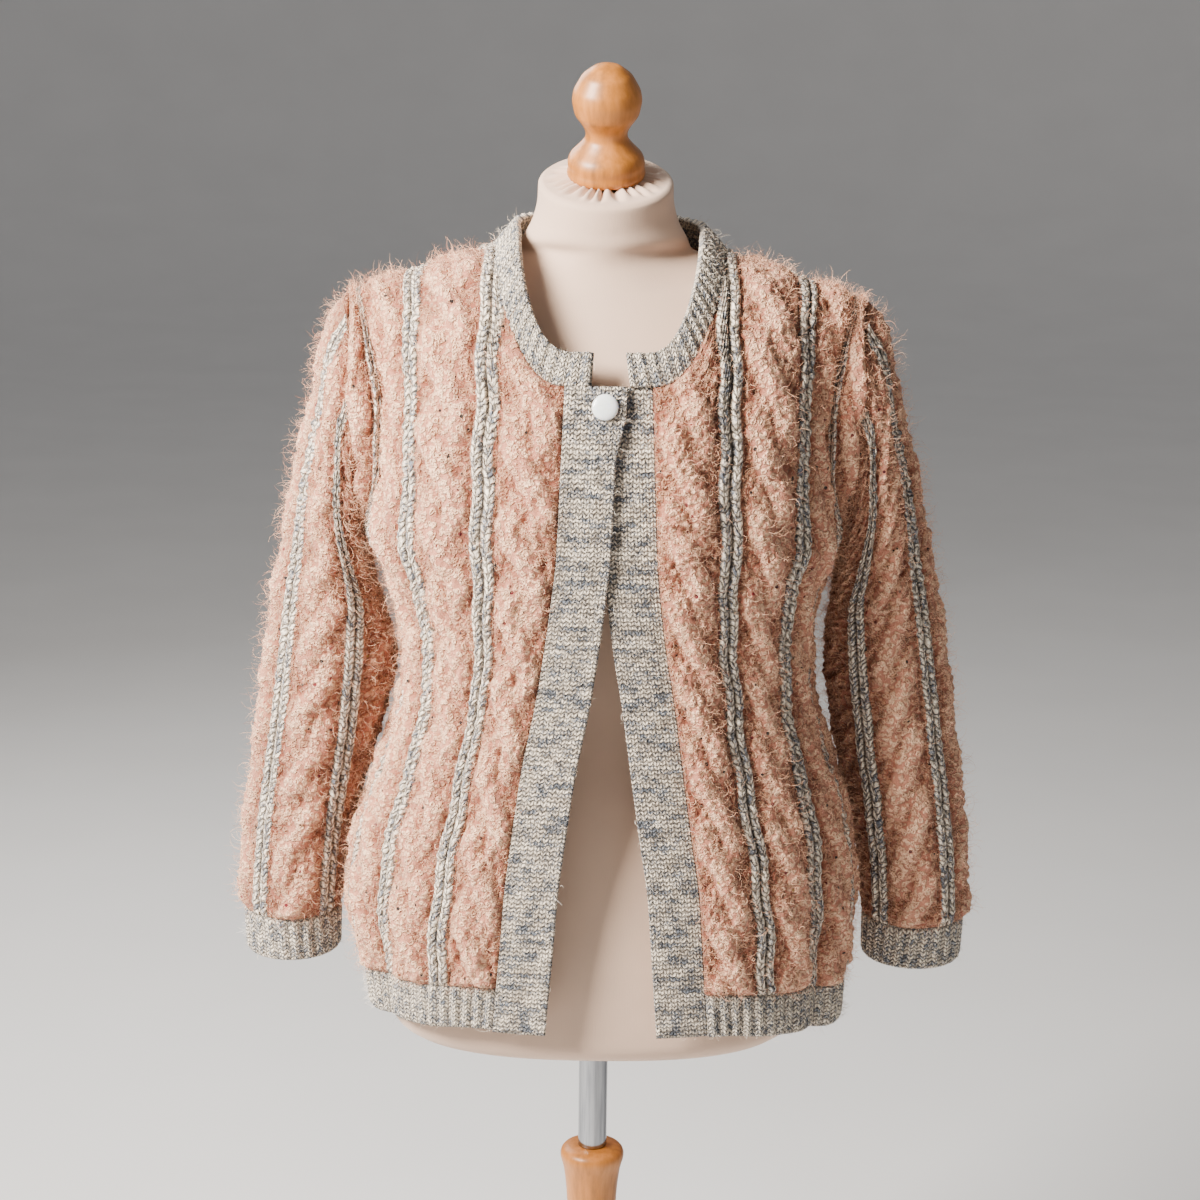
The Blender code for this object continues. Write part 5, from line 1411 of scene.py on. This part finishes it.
# Form, button and stand
def lathe(name, profile, finish, slot, nodes, location=(0.0, 0.0, 0.0), tilt=(0.0, 0.0, 0.0),
          segments=56, rings=72, rounding=4):
    """Turned piece from a profile of radius and height, softly rounded between its points."""
    profile = np.array(profile)
    steps = np.hypot(*np.diff(profile, axis=0).T)
    lengths = np.concatenate([[0.0], np.cumsum(steps)])
    even = np.unique(np.concatenate([np.linspace(0.0, lengths[-1], rings), lengths]))
    fine = np.stack([np.interp(even, lengths, profile[:, axis]) for axis in range(2)], axis=-1)
    for _ in range(rounding):
        inner = (fine[:-2] + 2.0 * fine[1:-1] + fine[2:]) / 4.0
        fine = np.concatenate([fine[:1], inner, fine[-1:]])
    angles = np.linspace(0.0, 2.0 * math.pi, segments, endpoint=False)
    points = np.stack([fine[:, :1] * np.cos(angles), fine[:, :1] * np.sin(angles),
                       fine[:, 1:] + np.zeros(segments)], axis=-1)
    mesh = mesh_from(name, points, grid_faces(len(fine), segments, True, turned=True))
    tool = bmesh.new()
    tool.from_mesh(mesh)
    bmesh.ops.remove_doubles(tool, verts=tool.verts[:], dist=1e-6)
    bmesh.ops.recalc_face_normals(tool, faces=tool.faces[:])
    tool.to_mesh(mesh)
    tool.free()
    mesh.polygons.foreach_set("use_smooth", np.ones(len(mesh.polygons), bool))
    mesh.materials.append(finish)
    piece = place(mesh, name, slot, *nodes)
    piece.location = Vector(location) + Vector(OFFSET)
    piece.rotation_euler = tilt


def build_button():
    """Shallow domed button on the upper band."""
    grid, turned, _ = band_cloth(RIGHT, 9)
    heights = grid[:, 4, 2]
    row = int(np.argmin(np.abs(heights - BUTTON_HEIGHT)))
    direction = unit(turned[row, 4])
    along = float(np.interp(BUTTON_HEIGHT, heights, grid[:, 4, 1]))
    seat = np.array([BUTTON_X, along, BUTTON_HEIGHT]) + direction * (WALL + 0.0012)
    profile = [(0.0, 0.0042), (0.0035, 0.0041), (0.0060, 0.0038), (0.0080, 0.0032), (0.0093, 0.0024),
               (0.0099, 0.0015), (0.0096, 0.0006), (0.0080, 0.0001), (0.0, 0.0)]
    tilt = (math.acos(direction[2]), 0.0, math.atan2(direction[0], -direction[1]))
    lathe("pearl_button_face", profile, pearl(), "pearl_button", ["button"], tuple(seat), tilt, 48)


def form_rows():
    """Every section of the dress form from the bottom to the neck."""
    rows = list(FORM_ROWS)
    for height, front, back, squareness in SHOULDER_ROWS:
        reach = SHOULDER_X + (SHOULDER_HEIGHT - SHOULDER_CLEARANCE - height) / SHOULDER_SLOPE
        reach -= NECK_CLEARANCE if height > SHOULDER_HEIGHT - 0.002 else 0.0
        rows.append(FormRow(height, reach, front, back, squareness))
    return rows + NECK_ROWS


def rounded_depth(across, value, depth, plain):
    """Depth of each section, with its ridge at the middle rounded off."""
    reach = value["half_width"][:, None]
    shape = value["squareness"][:, None]
    near = np.minimum(0.034, 0.3 * reach)
    share = near / reach
    full = 1.0 - share ** shape
    slope = -depth * share ** (shape - 1.0) / reach * full ** (1.0 / shape - 1.0)
    rounded = depth * full ** (1.0 / shape) + slope * (across ** 2 - near ** 2) / (2.0 * near)
    return np.where(across < near, np.minimum(rounded, plain), plain)


def form_body(angles):
    """Rings of the dress form from its lower edge to the neck."""
    rows = form_rows()
    numbers = np.arange(len(rows))
    fine = np.linspace(0.0, len(rows) - 1, 70)
    value = {key: smooth(numbers, [getattr(row, key) for row in rows], fine)
             for key in ("height", "half_width", "front", "back", "squareness")}
    power = 2.0 / value["squareness"][:, None]
    cosine = np.cos(angles)[None, :]
    sine = np.sin(angles)[None, :]
    across = np.sign(cosine) * np.abs(cosine) ** power * value["half_width"][:, None]
    depth = np.where(sine > 0, value["back"][:, None], value["front"][:, None])
    along = np.sign(sine) * rounded_depth(np.abs(across), value, depth, np.abs(sine) ** power * depth)
    tilt = math.tan(NECK_TILT) * ease((value["height"] - 1.309) / (1.350 - 1.309))
    height = value["height"][:, None] + along * tilt[:, None]
    body = np.stack([across, along, height], axis=-1)
    body[..., :2] *= COVER_SCALE
    return body


def form_top(last, angles, pleats):
    """Gathered rings of the cover inward from the last ring of the neck."""
    starts = 0.02 + 0.30 * (0.5 + 0.5 * np.sin(angles * 5.0 + 1.0)) * (0.5 + 0.5 * np.sin(angles * 11.0))
    rings = []
    for share in np.linspace(0.0, 1.0, 20)[1:]:
        ring = last.copy()
        ring[:, :2] *= 1.0 - share * 0.50
        ring[:, 2] = NECK_CAP_HEIGHT + ring[:, 1] * math.tan(NECK_TILT)
        fold = GATHER_HEIGHT * ease((share - starts) / 0.55) * (pleats ** 0.7 - 0.55)
        ring[:, 2] += fold + 0.0016 * share
        rings.append(ring)
    return rings


def form_underside(first, pleats):
    """Rings of the cover under the form, from the pole out to the first ring."""
    rings = []
    for share in np.linspace(0.0, 1.0, 9)[:-1]:
        ring = first.copy()
        ring[:, :2] *= 0.09 + 0.91 * share
        ring[:, 2] = FORM_BOTTOM + 0.0012 * (1.0 - share) * (pleats - 0.5)
        rings.append(ring)
    return rings


def build_form():
    """Jersey cover over the dress form, gathered round the finial and the pole."""
    segments = 180
    angles = np.linspace(0.0, 2 * math.pi, segments, endpoint=False)
    body = form_body(angles)
    waves = angles * 25.0 + 1.6 * np.sin(angles * 3.0 + 0.7) + 1.1 * np.sin(angles * 7.0)
    pleats = 0.5 + 0.5 * np.sin(waves)
    grid = np.concatenate([np.array(form_underside(body[0], pleats)), body,
                           np.array(form_top(body[-1], angles, pleats))])
    mesh = mesh_from("jersey_cover", grid + OFFSET, grid_faces(len(grid), segments, True))
    mesh.materials.append(jersey())
    piece = place(mesh, "jersey_cover", "cream_jersey", "dress_form")


def build_finial():
    """Turned wooden finial, tilted with the neck."""
    profile = [(0.0, 0.0905), (0.0100, 0.0885), (0.0190, 0.0815), (0.0255, 0.0700),
               (0.0268, 0.0620), (0.0245, 0.0510), (0.0180, 0.0420), (0.0158, 0.0370),
               (0.0162, 0.0320), (0.0215, 0.0255), (0.0280, 0.0190), (0.0300, 0.0130),
               (0.0290, 0.0085), (0.0305, 0.0060), (0.0300, 0.0020), (0.0270, 0.0), (0.0, 0.0)]
    lathe("turned_finial", profile, turned_wood(), "honey_wood", ["finial"],
          (0.0, 0.0, NECK_CAP_HEIGHT + 0.0012), (NECK_TILT, 0.0, 0.0))


def build_stand():
    """Chrome pole, turned column and board legs."""
    lathe("chrome_tube", [(0.0, FORM_BOTTOM - 0.0003), (0.0120, FORM_BOTTOM - 0.0003),
                          (0.0120, COLLAR_TOP + 0.0003), (0.0, COLLAR_TOP + 0.0003)],
          chrome(), "chrome_pole", ["pole"], segments=40, rings=12, rounding=0)
    profile = [(0.0, COLLAR_TOP), (0.0215, COLLAR_TOP), (0.0262, 0.5515), (0.0275, 0.5475),
               (0.0272, 0.5430), (0.0240, 0.5370), (0.0215, 0.5150), (0.0190, 0.4700),
               (0.0175, 0.4100), (0.0185, 0.3500), (0.0235, 0.2900), (0.0300, 0.2450),
               (0.0315, 0.2250), (0.0270, 0.2080), (0.0235, 0.2020), (0.0290, 0.1960),
               (0.0340, 0.1900), (0.0340, 0.1300), (0.0290, 0.118), (0.0, 0.118)]
    lathe("turned_column", profile, turned_wood(), "honey_wood", ["stand_column"])
    for index in range(1, 4):
        node = bpy.data.objects["stand_leg_%d" % index]
        for slot in node.material_slots:
            slot.material = turned_wood()


# Studio
def build_paper():
    """Pale floor that rises into the backdrop all round."""
    profile = np.array([(0.0005, 0.0), (2.0, 0.0), (5.0, 0.0), (8.0, 0.0), (9.4, 0.10), (10.5, 0.45),
                        (11.3, 1.1), (11.8, 2.1), (12.0, 3.4), (12.0, 7.0)])
    angles = np.linspace(0.0, 2.0 * math.pi, 96, endpoint=False)
    points = np.stack([profile[:, :1] * np.cos(angles), profile[:, :1] * np.sin(angles),
                       profile[:, 1:] + np.zeros(len(angles))], axis=-1)
    mesh = mesh_from("studio_paper", points, grid_faces(len(profile), len(angles), True))
    mesh.materials.append(backdrop_finish())
    paper = bpy.data.objects.new("studio_paper", mesh)
    bpy.context.scene.collection.objects.link(paper)


def aim(thing, height):
    """Turn a light or the camera to the middle of the form, at a height."""
    way = Vector((OFFSET[0], OFFSET[1], height)) - thing.location
    thing.rotation_mode = "QUATERNION"
    thing.rotation_quaternion = way.to_track_quat("-Z", "Y")


def build_lights():
    """Soft window light from the left, weak light from the right and behind, and even air."""
    scene = bpy.context.scene
    looks = scene.cardigan_looks
    for name, place_at, size, power, colour in (
            ("window_light", (-1.38, -0.95, 2.16), 0.80, looks.window_power, (1.0, 0.93, 0.84)),
            ("room_fill", (2.3, -2.4, 1.6), 2.4, looks.fill_power, (1.0, 0.97, 0.94)),
            ("back_glow", (-1.2, 1.9, 2.4), 1.4, looks.back_power, (1.0, 0.98, 0.95))):
        lamp = bpy.data.lights.new(name, "AREA")
        lamp.shape = "SQUARE"
        lamp.size = size
        lamp.energy = power
        lamp.color = colour
        light = bpy.data.objects.new(name, lamp)
        light.location = place_at
        aim(light, LIGHT_AIM_HEIGHT)
        scene.collection.objects.link(light)
    world = bpy.data.worlds.new("studio_air")
    world.use_nodes = True
    ground = world.node_tree.nodes["Background"]
    ground.inputs["Color"].default_value = (0.94, 0.93, 0.92, 1.0)
    ground.inputs["Strength"].default_value = looks.air
    scene.world = world


def build_camera():
    """Camera at the photograph's viewing angle."""
    scene = bpy.context.scene
    view = bpy.data.cameras.new("camera")
    view.lens = 75.0
    view.sensor_width = 36.0
    camera = bpy.data.objects.new("camera", view)
    camera.location = (OFFSET[0], OFFSET[1] - CAMERA_DISTANCE, CAMERA_HEIGHT)
    aim(camera, CAMERA_AIM_HEIGHT)
    roll = Quaternion((0.0, 0.0, 1.0), CAMERA_ROLL)
    camera.rotation_quaternion = camera.rotation_quaternion @ roll
    scene.collection.objects.link(camera)
    scene.camera = camera


# Properties, operators and panel
class CardiganLooks(bpy.types.PropertyGroup):
    """Colours, fuzz and light of the cardigan."""

    # Light pink and deep pink are random tones of the yarn, and also the lit tops and shaded low places of
    # its painted relief light and shade
    pink_light: bpy.props.FloatVectorProperty(
        name="Light pink", description="Colour of the lighter loops of the pink yarn",
        subtype="COLOR", size=3, min=0.0, max=1.0, default=(0.94, 0.555, 0.355))
    pink_deep: bpy.props.FloatVectorProperty(
        name="Deep pink", description="Colour of the deeper loops of the pink yarn",
        subtype="COLOR", size=3, min=0.0, max=1.0, default=(0.50, 0.215, 0.145))
    marl_light: bpy.props.FloatVectorProperty(
        name="Marl ecru", description="Colour of the pale strand of the marl yarn",
        subtype="COLOR", size=3, min=0.0, max=1.0, default=(0.97, 0.86, 0.71))
    marl_dark: bpy.props.FloatVectorProperty(
        name="Marl grey", description="Colour of the blue grey strand of the marl yarn",
        subtype="COLOR", size=3, min=0.0, max=1.0, default=(0.13, 0.15, 0.185))
    jersey: bpy.props.FloatVectorProperty(
        name="Jersey", description="Colour of the form's cover",
        subtype="COLOR", size=3, min=0.0, max=1.0, default=(0.70, 0.50, 0.38))
    wood: bpy.props.FloatVectorProperty(
        name="Wood", description="Colour of the varnished wood",
        subtype="COLOR", size=3, min=0.0, max=1.0, default=(0.44, 0.155, 0.018))
    wales_per_front: bpy.props.IntProperty(
        name="Mesh wales", description="Mesh columns across one front", min=40, max=200, default=127)
    curls: bpy.props.IntProperty(
        name="Curls", description="Amount of curled fibres on the pink yarn", min=0, default=58000)
    window_power: bpy.props.FloatProperty(
        name="Window light", description="Power of the light from the left", min=0.0, default=200.0)
    fill_power: bpy.props.FloatProperty(
        name="Fill light", description="Power of the soft light from the right", min=0.0, default=4.0)
    back_power: bpy.props.FloatProperty(
        name="Back light", description="Power of the soft light from behind", min=0.0, default=48.0)
    air: bpy.props.FloatProperty(
        name="Room light", description="Strength of the even light of the room", min=0.0, default=0.24)


class CardiganPiece:
    """Shared settings of the operators."""

    bl_options = {"REGISTER", "UNDO"}


class CARDIGAN_OT_fronts(CardiganPiece, bpy.types.Operator):
    """Build the two fronts"""

    bl_idname = "cardigan.fronts"
    bl_label = "Fronts"

    def execute(self, context):
        for side in (RIGHT, LEFT):
            build_front(side)
        return {"FINISHED"}


class CARDIGAN_OT_back(CardiganPiece, bpy.types.Operator):
    """Build the back"""

    bl_idname = "cardigan.back"
    bl_label = "Back"

    def execute(self, context):
        build_back()
        return {"FINISHED"}


class CARDIGAN_OT_sleeves(CardiganPiece, bpy.types.Operator):
    """Build the sleeves and their cuffs"""

    bl_idname = "cardigan.sleeves"
    bl_label = "Sleeves and cuffs"

    def execute(self, context):
        for side in (RIGHT, LEFT):
            build_sleeve(side)
            build_cuff(side)
        return {"FINISHED"}


class CARDIGAN_OT_edges(CardiganPiece, bpy.types.Operator):
    """Build the front bands, the neckband and the hem ribs"""

    bl_idname = "cardigan.edges"
    bl_label = "Bands, neckband and hems"

    def execute(self, context):
        for side in (RIGHT, LEFT):
            build_band(side)
        build_neckband()
        build_hems()
        return {"FINISHED"}


class CARDIGAN_OT_button(CardiganPiece, bpy.types.Operator):
    """Build the button"""

    bl_idname = "cardigan.button"
    bl_label = "Button"

    def execute(self, context):
        build_button()
        return {"FINISHED"}


class CARDIGAN_OT_form(CardiganPiece, bpy.types.Operator):
    """Build the dress form, its finial and its stand"""

    bl_idname = "cardigan.form"
    bl_label = "Dress form and stand"

    def execute(self, context):
        build_form()
        build_finial()
        build_stand()
        return {"FINISHED"}


class CARDIGAN_OT_studio(CardiganPiece, bpy.types.Operator):
    """Build the floor, the lights and the camera"""

    bl_idname = "cardigan.studio"
    bl_label = "Studio"

    def execute(self, context):
        build_paper()
        build_lights()
        build_camera()
        return {"FINISHED"}


OPERATORS = (CARDIGAN_OT_fronts, CARDIGAN_OT_back, CARDIGAN_OT_sleeves, CARDIGAN_OT_edges,
             CARDIGAN_OT_button, CARDIGAN_OT_form, CARDIGAN_OT_studio)


class CARDIGAN_PT_panel(bpy.types.Panel):
    """Panel in the sidebar that lists the looks and the pieces"""

    bl_label = "Cardigan"
    bl_idname = "CARDIGAN_PT_panel"
    bl_space_type = "VIEW_3D"
    bl_region_type = "UI"
    bl_category = "Cardigan"

    def draw(self, context):
        looks = context.scene.cardigan_looks
        for name in CardiganLooks.__annotations__:
            self.layout.prop(looks, name)
        for operator in OPERATORS:
            self.layout.operator(operator.bl_idname)


def register():
    """Register the classes."""
    bpy.utils.register_class(CardiganLooks)
    bpy.types.Scene.cardigan_looks = bpy.props.PointerProperty(type=CardiganLooks)
    for operator in OPERATORS:
        bpy.utils.register_class(operator)
    bpy.utils.register_class(CARDIGAN_PT_panel)


def unregister():
    """Take the classes out again."""
    bpy.utils.unregister_class(CARDIGAN_PT_panel)
    for operator in reversed(OPERATORS):
        bpy.utils.unregister_class(operator)
    del bpy.types.Scene.cardigan_looks
    bpy.utils.unregister_class(CardiganLooks)


def main():
    """Build everything."""
    register()
    bpy.ops.cardigan.fronts()
    bpy.ops.cardigan.back()
    bpy.ops.cardigan.sleeves()
    bpy.ops.cardigan.edges()
    bpy.ops.cardigan.button()
    bpy.ops.cardigan.form()
    bpy.ops.cardigan.studio()


if __name__ == "__main__":
    main()
